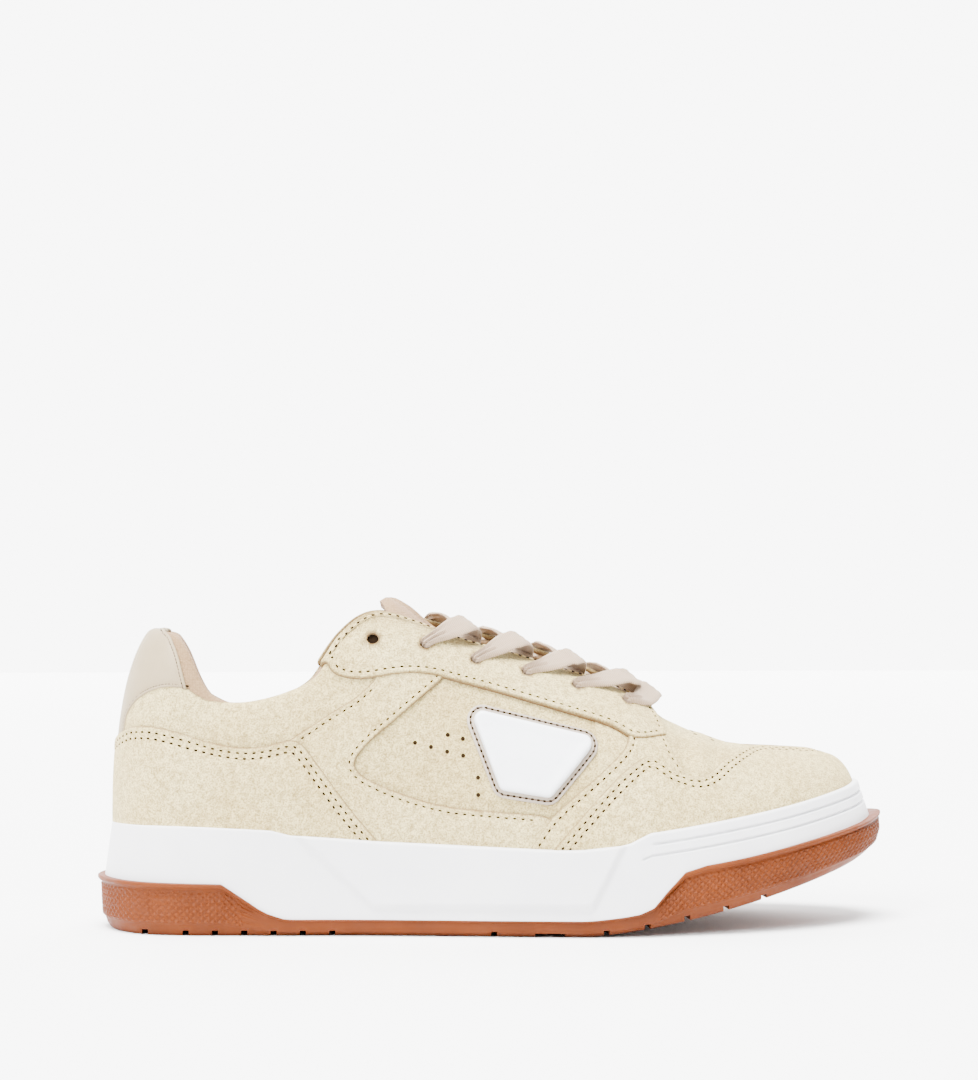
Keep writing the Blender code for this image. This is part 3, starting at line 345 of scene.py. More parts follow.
def outline(station, side, out=0.0):
    """Plan point at a station, moved outwards by out."""
    shares, points, _ = SIDES[side]
    if station < 1e-6 or station > 1 - 1e-6:
        end, away = (0, -1.0) if station < 0.5 else (-1, 1.0)
        return points[end] + Vector((away, 0.0)) * out
    i = bisect.bisect(shares, station) - 1
    t = (station - shares[i]) / (shares[i + 1] - shares[i])
    along = (points[min(i + 3, len(points) - 1)] - points[max(i - 2, 0)]).normalized()
    outwards = Vector((-along.y, along.x)) * side
    return points[i].lerp(points[i + 1], t) + outwards * out


def middle(x):
    return BALL_WIDTH * read(MIDDLE, "shift", place_of(x))


def top_point(station, side):
    x = (read(TOP_LINE, "place", station) - 0.5) * LENGTH
    half = BALL_WIDTH * max(0.0, read(TOP_LINE, "half", station)) if station < THROAT_END - 1e-6 else 0.0
    lift = read(INNER_LIFT, "share", station) if side == INNER else 0.0
    height = foot_bed(x) + BACK_HEIGHT * (read(TOP_LINE, "height", station) + lift)
    return Vector((x, middle(x) + side * half, height)), half


def sweep(station, side):
    """How far round its arc the section at a station runs: a right angle where it is closed."""
    _, half = top_point(station, side)
    foot = outline(station, side)
    reach = max(abs(foot.y - middle(foot.x)), half / 0.98, 1e-6)
    power = read(TOP_LINE, "power", station)
    own = math.acos(min(1.0, half / reach) ** (1 / power))
    return HEEL_SWEEP + (own - HEEL_SWEEP) * float(ease(station, HEEL_SWEEP_FULL, HEEL_SWEEP_GONE))


def section(station, side, angles):
    """Points of the finished upper's surface at angles round the section's arc."""
    foot, (top, _) = outline(station, side), top_point(station, side)
    full, power = sweep(station, side), read(TOP_LINE, "power", station)
    low = foot_bed(foot.x) + GAP
    lean = (1 - np.maximum(0.0, np.cos(angles)) ** power) / (1 - max(0.0, math.cos(full)) ** power)
    rise = (np.sin(angles) / math.sin(full)) ** HEIGHT_POWER
    swell = BELLY * np.sin(np.pi * np.minimum(1.0, angles / full))
    away = outline(station, side, 1.0) - foot
    return np.stack((foot.x + (top.x - foot.x) * lean + away.x * swell,
                     foot.y + (top.y - foot.y) * lean + away.y * swell,
                     low + (top.z - low) * rise), axis=1)


def form_point(station, side, across):
    """Point of the foot's own form, across from its middle; it arches over the open throat."""
    foot, (top, half) = outline(station, side), top_point(station, side)
    low = foot_bed(foot.x) + GAP
    reach = max(abs(foot.y - middle(foot.x)), half / 0.98)
    power = read(TOP_LINE, "power", station)
    share = min(1.0, across / reach)
    lean = (1 - share) / (1 - half / reach)
    if across >= half:
        full = math.acos(min(1.0, half / reach) ** (1 / power))
        angle = math.acos(share ** (1 / power))
        height = low + (top.z - low) * (math.sin(angle) / math.sin(full)) ** HEIGHT_POWER
    else:
        both = (top.z + top_point(station, -side)[0].z) / 2
        rise = both + read(ARCH, "rise", station) * half
        height = top.z + (rise - top.z) * (1 - (across / half) ** 2)
    return Vector((foot.x + (top.x - foot.x) * lean, foot.y + (top.y - foot.y) * lean, height))


def form_normal(station, side, across):
    step = 0.0005
    along = form_point(station + 0.002, side, across) - form_point(station - 0.002, side, across)
    over = form_point(station, side, across + step) - form_point(station, side, max(0.0, across - step))
    normal = along.cross(over).normalized()
    return normal if normal.z > 0 else -normal


def across_at(station, side, inset):
    """Distance from the middle of the point that lies inset outwards of the throat's edge."""
    half = top_point(station, side)[1]
    edge = form_point(station, side, half)
    low, high = half, half + inset
    for _ in range(14):
        across = (low + high) / 2
        if (form_point(station, side, across) - edge).length < inset:
            low = across
        else:
            high = across
    return across


def eyelet_spot(number, side):
    """Station and distance across of an eyelet, counted from the top."""
    throat = read(TOP_LINE, "place", THROAT_END) * LENGTH - EYELETS_TO_THROAT
    pitch = (throat - FIRST_EYELET) / (EYELETS - 1)
    goal = FIRST_EYELET - LENGTH / 2 + pitch * number
    low, high = 0.25, THROAT_END - 0.005
    for _ in range(18):
        station = (low + high) / 2
        across = across_at(station, side, EYELET_INSET)
        if form_point(station, side, across).x < goal:
            low = station
        else:
            high = station
    return station, across


# The last's surface as a fine grid

GRID_ALONG, GRID_UP, ROLL_ROWS = 400, 84, 12
ROLL_SHARE = 0.42         # height of the rolled rim, as a share of the wall
SPAN_ALONG, SPAN_UP = 330 * MM, 80 * MM   # rough lengths that the two shares stand for


def padding_at(station):
    """The collar's padding, which runs out under the eyestay."""
    return COLLAR_PADDING * (1 - float(ease(station, 0.27, 0.33)))


def wall_at_top(station):
    return UPPER_WALL + padding_at(station)


class Surface:
    """One side of the upper: points by station and share up, with the rim rolled in at the top."""

    def __init__(self, side):
        self.side = side
        self.rim = []
        rows = []
        for i in range(GRID_ALONG + 1):
            station = i / GRID_ALONG
            full = sweep(station, side)
            fine = section(station, side, np.linspace(0.0, full, 200))
            run = np.concatenate(([0.0], np.cumsum(np.linalg.norm(np.diff(fine, axis=0), axis=1))))
            wall = wall_at_top(station)
            roll = ROLL_SHARE * wall
            body = np.linspace(0.0, run[-1] - roll, GRID_UP - ROLL_ROWS + 1)
            cap = np.linspace(run[-1] - roll, run[-1], ROLL_ROWS + 1)[1:]
            at = np.concatenate((body, cap))
            rows.append(np.stack([np.interp(at, run, fine[:, k]) for k in range(3)], axis=1))
        self.points = np.array(rows)
        self.press_creases()
        self.raw_normals = self.normals_of(self.points)

    def press_creases(self):
        s = np.linspace(0, 1, GRID_ALONG + 1)[:, None]
        t = np.linspace(0, 1, GRID_UP + 1)[None, :]
        normals = self.normals_of(self.points)
        push = np.zeros((GRID_ALONG + 1, GRID_UP + 1))
        for side, s0, t0, s1, t1, width, depth in CREASES[1:]:
            if side != self.side:
                continue
            ax, ay = (s - s0) * SPAN_ALONG, (t - t0) * SPAN_UP
            bx, by = (s1 - s0) * SPAN_ALONG, (t1 - t0) * SPAN_UP
            share = np.clip((ax * bx + ay * by) / (bx * bx + by * by), 0, 1)
            near = np.hypot(ax - bx * share, ay - by * share)
            push -= depth * MM * np.exp(-(near / (width * MM)) ** 2)
        self.points = self.points + normals * push[:, :, None]

    def normals_of(self, points):
        along, up = np.gradient(points, axis=0), np.gradient(points, axis=1)
        normals = np.cross(along, up) * -self.side
        return normals / np.maximum(1e-12, np.linalg.norm(normals, axis=2))[:, :, None]

    def roll_rim(self):
        """Bend the top ROLL_ROWS rows over the padded edge, up to its crest."""
        first = GRID_UP - ROLL_ROWS
        for i in range(GRID_ALONG + 1):
            station = i / GRID_ALONG
            if station >= THROAT_END:
                self.rim.append(None)
                continue
            wall = wall_at_top(station)
            start, normal = self.points[i, first], self.raw_normals[i, first]
            up = self.points[i, first] - self.points[i, first - 1]
            up = up / np.linalg.norm(up)
            centre = start - normal * wall / 2
            self.rim.append((centre, normal, up, wall))
            for k in range(1, ROLL_ROWS + 1):
                turn = math.pi / 2 * k / ROLL_ROWS
                self.points[i, first + k] = (centre + normal * (wall / 2 * math.cos(turn))
                                             + up * (ROLL_SHARE * wall * math.sin(turn)))

    def read(self, st, values=None):
        values = self.points if values is None else values
        u = np.clip(st[:, 0], 0, 1) * GRID_ALONG
        v = np.clip(st[:, 1], 0, 1) * GRID_UP
        i = np.minimum(u.astype(int), GRID_ALONG - 1)
        j = np.minimum(v.astype(int), GRID_UP - 1)
        f, g = (u - i)[:, None], (v - j)[:, None]
        return ((values[i, j] * (1 - f) + values[i + 1, j] * f) * (1 - g)
                + (values[i, j + 1] * (1 - f) + values[i + 1, j + 1] * f) * g)

    def normal(self, st):
        found = self.read(st, self.normals)
        return found / np.linalg.norm(found, axis=1)[:, None]

    def slopes(self, st):
        ds, dt = np.array([[0.0025, 0.0]]), np.array([[0.0, 0.012]])
        a, b = np.clip(st + ds, 0, 1), np.clip(st - ds, 0, 1)
        c, d = np.clip(st + dt, 0, 1), np.clip(st - dt, 0, 1)
        along = (self.read(a) - self.read(b)) / (a - b)[:, :1]
        up = (self.read(c) - self.read(d)) / (c - d)[:, 1:]
        return np.stack((along, up), axis=2)

    def settle(self, st, target, axes, turns):
        """Move the shares until the surface's chosen coordinates meet the target."""
        for _ in range(turns):
            jacobian = self.slopes(st)[:, axes, :]
            miss = (target - self.read(st)[:, axes])[:, :, None]
            square = np.swapaxes(jacobian, 1, 2) @ jacobian + np.eye(2) * 1e-7
            step = np.linalg.solve(square, np.swapaxes(jacobian, 1, 2) @ miss)[:, :, 0]
            st = np.clip(st + np.clip(step, -0.05, 0.05), 0, 1)
        return st

    def locate(self, target, axes=(0, 2)):
        """Shares of the points whose chosen coordinates are nearest the target."""
        axes = list(axes)
        grid = self.points[:, :, axes].reshape(-1, 2)
        starts = []
        for goal in target:
            nearest = int(np.argmin(((grid - goal) ** 2).sum(axis=1)))
            starts.append((nearest // (GRID_UP + 1) / GRID_ALONG, nearest % (GRID_UP + 1) / GRID_UP))
        return self.settle(np.array(starts), np.array(target), axes, 8)

    def offset(self, st, distance, flip=1.0):
        """A line moved sideways over the surface, to the left of its run in shares."""
        if distance == 0:
            return st
        points, normals = self.read(st), self.normal(st)
        along = np.gradient(points, axis=0)
        along /= np.maximum(1e-9, np.linalg.norm(along, axis=1))[:, None]
        inwards = np.cross(normals, along) * -self.side * flip
        return self.settle(st, points + inwards * distance, [0, 1, 2], 4)


SURFACES = {side: Surface(side) for side in (OUTER, INNER)}
for surface in SURFACES.values():
    surface.roll_rim()
    surface.normals = surface.normals_of(surface.points)
RIDGE_FROM = math.ceil(THROAT_END * GRID_ALONG)
VAMP = ((0.60, 0.18), (1.0, 0.18), (1.0, 1.0), (RIDGE_FROM / GRID_ALONG, 1.0), (0.60, 0.97))
HEEL_COLUMN = (slice(0, 1), slice(None))
TOE_COLUMN = (slice(GRID_ALONG, None), slice(None))
RIDGE_ROW = (slice(RIDGE_FROM, None), slice(-1, None))
for rows in (HEEL_COLUMN, TOE_COLUMN, RIDGE_ROW):    # the two sides meet there with one normal
    shared = SURFACES[OUTER].normals[rows] + SURFACES[INNER].normals[rows]
    shared /= np.linalg.norm(shared, axis=2)[:, :, None]
    for surface in SURFACES.values():
        surface.normals[rows] = shared


# Colours, nodes and materials

def linear(code):
    """An sRGB hex colour as the linear values that the shader takes."""
    shares = [int(code[k:k + 2], 16) / 255 for k in (1, 3, 5)]
    return tuple(c / 12.92 if c <= 0.04045 else ((c + 0.055) / 1.055) ** 2.4 for c in shares) + (1.0,)


def add(tree, kind, output, settings=None, **inputs):
    """One shader node with its settings, its sockets given values or links; returns the output asked for."""
    made = tree.nodes.new("ShaderNode" + kind)
    for name, value in (settings or {}).items():
        setattr(made, name, value)
    for name, value in inputs.items():
        socket = next(s for s in made.inputs if name in (s.identifier, s.name.replace(" ", "_")))
        if isinstance(value, bpy.types.NodeSocket):
            tree.links.new(value, socket)
        else:
            socket.default_value = value
    return next(s for s in made.outputs if output in (s.identifier, s.name))


def start_material(name, **shader_values):
    made = bpy.data.materials.new(name)
    made.use_nodes = True
    tree = made.node_tree
    shader = tree.nodes["Principled BSDF"]
    for socket, value in shader_values.items():
        shader.inputs[socket.replace("_", " ")].default_value = value
    return made, tree, shader, add(tree, "TexCoord", "Object")


def tint(tree, colour, pattern, limits, shares, over):
    """The colour with another laid over it, by shares that follow the pattern between its limits."""
    share = add(tree, "MapRange", "Result", Value=pattern, From_Min=limits[0], From_Max=limits[1],
                To_Min=shares[0], To_Max=shares[1])
    return add(tree, "Mix", "Result_Color", {"data_type": "RGBA"}, Factor=share, A_Color=colour,
               B_Color=linear(over))


def cover(tree, shader, colour, *layers):
    """Give the shader its colour, and relief from patterns that stand for depths in metres."""
    tree.links.new(colour, shader.inputs["Base Color"])
    normal = None
    for height, depth in layers:
        below = {} if normal is None else {"Normal": normal}
        normal = add(tree, "Bump", "Normal", Height=height, Distance=depth, Strength=1.0, **below)
    tree.links.new(normal, shader.inputs["Normal"])


def make_suede(name, base, pale, dark, edge):
    """Split cowhide, buffed to a short nap: matt, with brushed patches and a soft sheen."""
    made, tree, shader, place = start_material(
        name, Roughness=0.93, Sheen_Weight=0.15, Sheen_Roughness=0.5, Sheen_Tint=linear("#F0E2BC"),
        Specular_IOR_Level=0.2)
    # The real tufts are about 0.2 mm and wouldn't show, so they are drawn coarser.
    tufts = add(tree, "TexNoise", "Fac", Vector=place, Scale=1 / (0.6 * MM), Detail=3.0, Roughness=0.65)
    mottle = add(tree, "TexNoise", "Fac", Vector=place, Scale=1 / (2.2 * MM), Detail=3.0, Roughness=0.6)
    brushed = add(tree, "TexNoise", "Fac", Vector=place, Scale=1 / (26 * MM))
    edge_colour_and_shade = add(tree, "Attribute", "Fac", {"attribute_name": "cut_edge"})
    colour = tint(tree, linear(base), brushed, (0.35, 0.65), (0.0, 1.0), pale)
    colour = tint(tree, colour, mottle, (0.42, 0.66), (0.0, 0.42), dark)
    colour = tint(tree, colour, tufts, (0.42, 0.62), (0.0, 0.70), dark)
    # Darker towards each cut edge and hole: partly the raw edge's own colour, partly painted shade along the
    # edge.
    colour = tint(tree, colour, edge_colour_and_shade, (0.0, 1.0), (0.0, 1.0), edge)
    cover(tree, shader, colour, (mottle, 0.55 * MM), (tufts, 0.50 * MM))
    return made


def make_leather(name, base, dark):
    """Corrected grain leather: smooth to the eye, with a low pebble under a thin matt coat."""
    made, tree, shader, place = start_material(
        name, Roughness=0.58, Coat_Weight=0.05, Coat_Roughness=0.45, IOR=1.5, Specular_IOR_Level=0.3)
    pebble = add(tree, "TexVoronoi", "Distance", {"feature": "SMOOTH_F1"}, Vector=place, Scale=1 / (0.8 * MM))
    dents = add(tree, "TexNoise", "Fac", Vector=place, Scale=1 / (3.5 * MM))
    cloud = add(tree, "TexNoise", "Fac", Vector=place, Scale=1 / (14 * MM))
    colour = tint(tree, linear(base), cloud, (0.35, 0.65), (0.0, 0.6), dark)
    cover(tree, shader, colour, (pebble, 0.06 * MM), (dents, 0.10 * MM))
    return made


def make_textile(name, base, dark, cell=0.9 * MM):
    """Brushed polyester lining: a fine knit of small cells with a velvety sheen."""
    made, tree, shader, place = start_material(
        name, Roughness=0.95, Sheen_Weight=0.25, Sheen_Roughness=0.5, Sheen_Tint=linear("#E8C9B8"),
        Specular_IOR_Level=0.15)
    knit = add(tree, "TexVoronoi", "Distance", Vector=place, Scale=1 / cell, Randomness=0.55)
    loops = add(tree, "MapRange", "Result", Value=knit, From_Max=0.8, To_Min=1.0, To_Max=0.0)
    fuzz = add(tree, "TexNoise", "Fac", Vector=place, Scale=1 / (0.4 * MM), Detail=3.0, Roughness=0.7)
    patches = add(tree, "TexNoise", "Fac", Vector=place, Scale=1 / (12 * MM))
    # Darker between the knit's loops, where its relief is low: painted shade.
    colour = tint(tree, linear(base), knit, (0.25, 0.75), (0.0, 0.8), dark)
    colour = tint(tree, colour, patches, (0.4, 0.7), (0.0, 0.35), dark)
    cover(tree, shader, colour, (loops, 0.22 * MM), (fuzz, 0.10 * MM))
    return made


def make_weave(name, base, dark):
    """Flat woven cotton lace: slanting ribs that follow the band, read from its own map in metres."""
    made, tree, shader, _ = start_material(
        name, Roughness=0.90, Sheen_Weight=0.15, Sheen_Roughness=0.5, Specular_IOR_Level=0.2)
    run = add(tree, "SeparateXYZ", "X", Vector=add(tree, "UVMap", "UV", {"uv_map": "band"}))
    across = run.node.outputs["Y"]
    from_middle = add(tree, "Math", "Value", {"operation": "ABSOLUTE"}, Value=across)
    slant = add(tree, "Math", "Value", {"operation": "ADD"}, Value=run, Value_001=from_middle)
    # Ribs are 0.75 mm apart, a little coarser than the real 0.6 mm so that they show.
    waves = []
    for length, pitch in ((slant, 0.75 * MM), (across, 0.62 * MM)):
        turn = add(tree, "Math", "Value", {"operation": "MULTIPLY"}, Value=length,
                   Value_001=2 * math.pi / pitch)
        waves.append(add(tree, "Math", "Value", {"operation": "SINE"}, Value=turn))
    weave = add(tree, "Math", "Value", {"operation": "MULTIPLY"}, Value=waves[0], Value_001=waves[1])
    height = add(tree, "MapRange", "Result", Value=weave, From_Min=-1.0)
    # Darker where the weave's relief is low: painted shade between the ribs.
    colour = tint(tree, linear(base), weave, (-0.8, 0.8), (0.75, 0.0), dark)
    cover(tree, shader, colour, (height, 0.18 * MM))
    return made


def make_rubber(name, base, dark, roughness, cloud_size, depth, coat=0.0, specular=0.4):
    """Moulded rubber: an even colour with slight clouds, and the mould's faint orange peel."""
    made, tree, shader, place = start_material(
        name, Roughness=roughness, Coat_Weight=coat, Coat_Roughness=0.35, IOR=1.52,
        Specular_IOR_Level=specular)
    cloud = add(tree, "TexNoise", "Fac", Vector=place, Scale=1 / cloud_size, Detail=3.0)
    handled = add(tree, "TexNoise", "Fac", Vector=place, Scale=1 / (5 * MM))
    peel = add(tree, "TexNoise", "Fac", Vector=place, Scale=1 / (0.9 * MM))
    uneven = add(tree, "MapRange", "Result", Value=handled, From_Min=0.3, From_Max=0.7,
                 To_Min=roughness - 0.06, To_Max=roughness + 0.08)
    tree.links.new(uneven, shader.inputs["Roughness"])
    cover(tree, shader, tint(tree, linear(base), cloud, (0.35, 0.7), (0.0, 1.0), dark), (peel, depth))
    return made


def make_thread(name, base, dark):
    """Bonded nylon thread, twisted; the twist is too fine to show and is left as fuzz."""
    made, tree, shader, place = start_material(name, Roughness=0.7, Sheen_Weight=0.2)
    twist = add(tree, "TexNoise", "Fac", Vector=place, Scale=1 / (0.35 * MM), Detail=1.0)
    cover(tree, shader, tint(tree, linear(base), twist, (0.4, 0.65), (0.0, 1.0), dark), (twist, 0.10 * MM))
    return made


def make_painted_hole_shade(name, base):
    """Painted shade: a flat dark colour that stands for the unlit inside of a hole in suede."""
    return start_material(name, Roughness=1.0, Specular_IOR_Level=0.0, Base_Color=linear(base))[0]


FINISH = {
    # The last colour of each suede darkens it along cut edges and holes: partly the raw edge's colour, partly
    # painted shade.
    "suede": make_suede("cream_suede", "#C8B57E", "#D2C28C", "#6E5A30", "#4E3012"),
    "suede_thin": make_suede("cream_suede_underlay", "#C0AC76", "#C8B781", "#68552C", "#4E3012"),
    "leather": make_leather("taupe_smooth_leather", "#8E7F63", "#837457"),
    "backing": make_leather("taupe_leather_backing", "#9B8F80", "#8C7F71"),
    # The darker colour of the lining and foot bed cloth paints shade between the knit's loops, and also gives
    # their random patches.
    "lining": make_textile("pink_taupe_lining", "#8B7152", "#775E42"),
    "footbed": make_textile("footbed_cloth", "#8D7557", "#786147", 1.2 * MM),
    # The lace's darker colour paints shade into the hollows of its weave.
    "lace": make_weave("woven_lace", "#AE9981", "#7C634E"),
    "cup": make_rubber("white_cup_rubber", "#D2D2D4", "#CACACD", 0.50, 30 * MM, 0.02 * MM),
    "gum": make_rubber("gum_rubber", "#5B2909", "#4F2206", 0.55, 22 * MM, 0.03 * MM, 0.0, 0.12),
    "plate": make_rubber("white_moulded_plate", "#E4E6EA", "#DDE0E5", 0.30, 25 * MM, 0.015 * MM, 0.15),
    "thread": make_thread("cream_thread", "#BFA974", "#A08A57"),
    "brown_thread": make_thread("brown_thread", "#5E4833", "#473523"),
    # Dark beads of painted shade in the needle holes, the eyelets and the punched holes.
    "needle_hole": make_painted_hole_shade("needle_hole_depth", "#21190F"),
    "eyelet_bed": make_painted_hole_shade("eyelet_depth", "#1A120B"),
    "punched_hole": make_painted_hole_shade("punched_hole_depth", "#21180D"),
}


# Making pieces

def finish_piece(obj, finish, nodes=()):
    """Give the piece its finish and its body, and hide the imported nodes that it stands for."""
    obj.data.materials.clear()
    obj.data.materials.append(FINISH[finish])
    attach(obj, "root")
    if nodes:
        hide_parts(*nodes)
    return obj


def piece_from(name, points, faces, finish, nodes=(), merge=0.0, angle=50.0, cut=None):
    """A piece of the given mesh; cut is how near each point is to a cut edge, from 0 to 1, and darkens suede
    there, partly as painted shade.
    """
    mesh = bpy.data.meshes.new(name)
    mesh.from_pydata([tuple(p) for p in points], [], faces)
    if cut is not None:
        mesh.attributes.new("cut_edge", "FLOAT", "POINT").data.foreach_set("value", cut)
    if merge:
        bm = bmesh.new()
        bm.from_mesh(mesh)
        bmesh.ops.remove_doubles(bm, verts=bm.verts, dist=merge)
        bm.to_mesh(mesh)
        bm.free()
    obj = bpy.data.objects.new(name, mesh)
    bpy.context.scene.collection.objects.link(obj)
    bpy.ops.object.select_all(action="DESELECT")
    obj.select_set(True)
    bpy.context.view_layer.objects.active = obj
    bpy.ops.object.shade_smooth_by_angle(angle=math.radians(angle))
    return finish_piece(obj, finish, nodes)


def curve(points, spacing=1.0):
    """Evenly spaced points on a smooth curve through the given ones."""
    knots = [0.0]
    for a, b in zip(points, points[1:]):
        knots.append(knots[-1] + math.dist(a, b))
    xs, ys = [p[0] for p in points], [p[1] for p in points]
    count = max(2, round(knots[-1] / spacing))
    return [(smooth(knots, xs, knots[-1] * i / count), smooth(knots, ys, knots[-1] * i / count))
            for i in range(count + 1)]


def side_view(points):
    """Millimetres from the heel and above the floor, as world X and Z."""
    return np.array([((x * MM - LENGTH / 2), z * MM) for x, z in points])


def eased(st, turns=4):
    """A line in shares, smoothed between its ends."""
    for _ in range(turns):
        st = np.vstack((st[:1], (st[:-2] + 2 * st[1:-1] + st[2:]) / 4, st[-1:]))
    return st


def traced(surface, points):
    return eased(surface.locate(side_view(curve(points))))


def low_line(surface, start, end):
    """The line inside the cup, IN_CUP under its edge, between two stations."""
    stations = np.linspace(start, end, max(2, int(abs(end - start) * SPAN_ALONG / (1.4 * MM))))
    line = []
    for station in stations:
        up = np.linspace(0, 0.6, 60)
        points = surface.read(np.stack((np.full(60, station), up), axis=1))
        over = points[:, 2] - np.array([cup_edge(x) for x in points[:, 0]]) + IN_CUP
        line.append((station, float(np.interp(0.0, over, up))))
    return np.array(line)


def between(a, b, spacing=1.4):
    """A straight line in shares from one point to another."""
    length = math.hypot((b[0] - a[0]) * SPAN_ALONG, (b[1] - a[1]) * SPAN_UP)
    count = max(2, round(length / (spacing * MM)))
    return np.array([(a[0] + (b[0] - a[0]) * i / count, a[1] + (b[1] - a[1]) * i / count)
                     for i in range(count + 1)])


def inside(polygon, points):
    """Which points lie inside the polygon."""
    found = np.zeros(len(points), bool)
    xs, ys = points[:, 0], points[:, 1]
    for (ax, ay), (bx, by) in zip(polygon, np.roll(polygon, -1, axis=0)):
        crosses = (ay > ys) != (by > ys)
        found ^= crosses & (xs < (bx - ax) * (ys - ay) / (by - ay if by != ay else 1e-12) + ax)
    return found


def nearest(tree, points):
    return np.array([tree.find(Vector(p))[2] for p in points])


def tree_of(points):
    made = kdtree.KDTree(len(points))
    for i, point in enumerate(points):
        made.insert(Vector(point), i)
    made.balance()
    return made


# How a cut edge rounds up to the full height: mm in from the edge, share of the height
EDGE_RINGS = ((0.0, 0.42), (0.14, 0.74), (0.40, 0.94), (0.85, 1.0))
EDGE_COLOUR_AND_SHADE_REACH = 0.85 * MM      # how far in the cut edge's colour and its painted shade fade
ROW_DIP = 0.24 * MM       # how deep a stitch row pulls the suede in
DIP_WIDTH = 0.50 * MM
PUFF_AT, PUFF_WIDTH = 1.1 * MM, 0.7 * MM    # the swell between the edge and its first row
SKIN_UNDER = 0.2 * MM     # how far a sheet's underside lies below its base


def sheet_height(depth, height, rows, puff, rings):
    """Height of a sewn piece over the last, depth in from its cut edge."""
    made = height * np.interp(depth, [inset * MM for inset, _ in rings], [share for _, share in rings])
    for row in rows:
        made = made - ROW_DIP * np.exp(-((depth - row * MM) / DIP_WIDTH) ** 2)
    if rows:
        made = made + puff * np.exp(-((depth - PUFF_AT) / PUFF_WIDTH) ** 2)
    return made


def filling(surface, segments, loop, free_tree, any_tree, insets, spacing):
    """Points inside a sheet's loop: rows along its cut edges, and a staggered grid between them."""
    scale = np.array([[SPAN_ALONG, SPAN_UP]])
    made = []
    for line, is_cut in segments:
        if not is_cut:
            continue
        for inset in insets:
            ring = surface.offset(line, inset * MM)
            kept = inside(loop * scale, ring * scale)
            kept &= nearest(free_tree, surface.read(ring)) > 0.93 * inset * MM
            kept &= nearest(any_tree, surface.read(ring)) > min(0.9 * inset, 0.5) * MM
            made.append(ring[kept])
    low, high = loop.min(axis=0), loop.max(axis=0)
    across = np.arange(low[0] * SPAN_ALONG, high[0] * SPAN_ALONG, spacing)
    up = np.arange(low[1] * SPAN_UP, high[1] * SPAN_UP, spacing)
    grid = np.array([(a + (k % 2) * spacing / 2, b) for k, b in enumerate(up) for a in across]) / scale
    grid = grid[inside(loop * scale, grid * scale)]
    on_skin = surface.read(grid)
    clear = nearest(any_tree, on_skin) > 0.55 * spacing
    if free_tree:
        clear &= nearest(free_tree, on_skin) > (max(insets) * MM + 0.5 * spacing)
    return made + [grid[clear]]


def triangulate(loop, holes, extra):
    """Points in shares and triangles of the sheet, with its holes left open."""
    scale = np.array([[SPAN_ALONG, SPAN_UP]])
    edges, start = [], 0
    for ring in [loop] + list(holes):
        edges += [(start + i, start + (i + 1) % len(ring)) for i in range(len(ring))]
        start += len(ring)
    st = np.vstack([loop] + list(holes) + extra)
    made = delaunay_2d_cdt([Vector(p) for p in st * scale], edges, [], 1, 1e-8)
    flat, triangles = np.array([tuple(v) for v in made[0]]) / scale, made[2]
    for hole in holes:
        centres = flat[np.array(triangles)].mean(axis=1)
        open_here = inside(hole * scale, centres * scale)
        triangles = [triangle for triangle, is_open in zip(triangles, open_here) if not is_open]
    return flat, triangles


def sewn_sheet(points, faces, edge_colour_and_shade_shares, side, segments, height, base=0.0, rows=(), spacing=1.5 * MM,
               puff=0.14 * MM, holes=(), rings=EDGE_RINGS):
    """Add one side's sheet, closed by its walls and underside; segments are (line, is the edge cut)."""
    surface = SURFACES[side]
    loop, cut_edge = [], []
    for line, is_cut in segments:
        loop += list(line[:-1])
        cut_edge += [is_cut] * (len(line) - 1)
    loop, cut_edge = np.array(loop), np.array(cut_edge)
    free = cut_edge | np.roll(cut_edge, 1)
    loop_points = surface.read(loop)
    hole_points = [surface.read(hole) for hole in holes]
    any_tree = tree_of(np.vstack([loop_points] + hole_points))
    free_tree, edge_tree = None, None
    if free.any():
        free_tree = tree_of(loop_points[free])
        edge_tree = tree_of(np.vstack([loop_points[free]] + hole_points))
    insets = [inset for inset, _ in rings[1:]]
    for row in rows:
        insets += [row - 0.5, row, row + 0.5]
    if rows:
        insets.append(rows[-1] + 1.2)
    extra = filling(surface, segments, loop, free_tree, any_tree, insets, spacing)
    flat, triangles = triangulate(loop, holes, extra)
    skin, normals = surface.read(flat), surface.normal(flat)
    first, span = len(points), len(flat)
    depth = nearest(free_tree, skin) if free_tree else np.full(span, 1.0)
    points.extend(skin + normals * (base + sheet_height(depth, height, rows, puff, rings))[:, None])
    points.extend(skin + normals * (base - SKIN_UNDER))
    # How near each point is to a cut edge or hole; it darkens the suede there, partly as painted shade.
    edge_colour_and_shade_share = 1 - np.clip(nearest(edge_tree, skin) / EDGE_COLOUR_AND_SHADE_REACH, 0, 1) if edge_tree else np.zeros(span)
    edge_colour_and_shade_shares.extend(np.concatenate((0.85 * edge_colour_and_shade_share, edge_colour_and_shade_share)))
    border = {}
    for triangle in triangles:
        order = list(triangle) if side == OUTER else list(triangle)[::-1]
        faces.append([first + k for k in order])
        faces.append([first + span + k for k in order[::-1]])
        for a, b in zip(order, order[1:] + order[:1]):
            if (b, a) in border:
                del border[b, a]
            else:
                border[a, b] = True
    on_ridge = (flat[:, 1] > 1 - 1e-6) & (flat[:, 0] > RIDGE_FROM / GRID_ALONG - 0.004)
    on_seam = (flat[:, 0] < 1e-6) | (flat[:, 0] > 1 - 1e-6) | on_ridge
    for a, b in border:
        if not (on_seam[a] and on_seam[b]):
            faces.append([first + a, first + span + a, first + span + b, first + b])


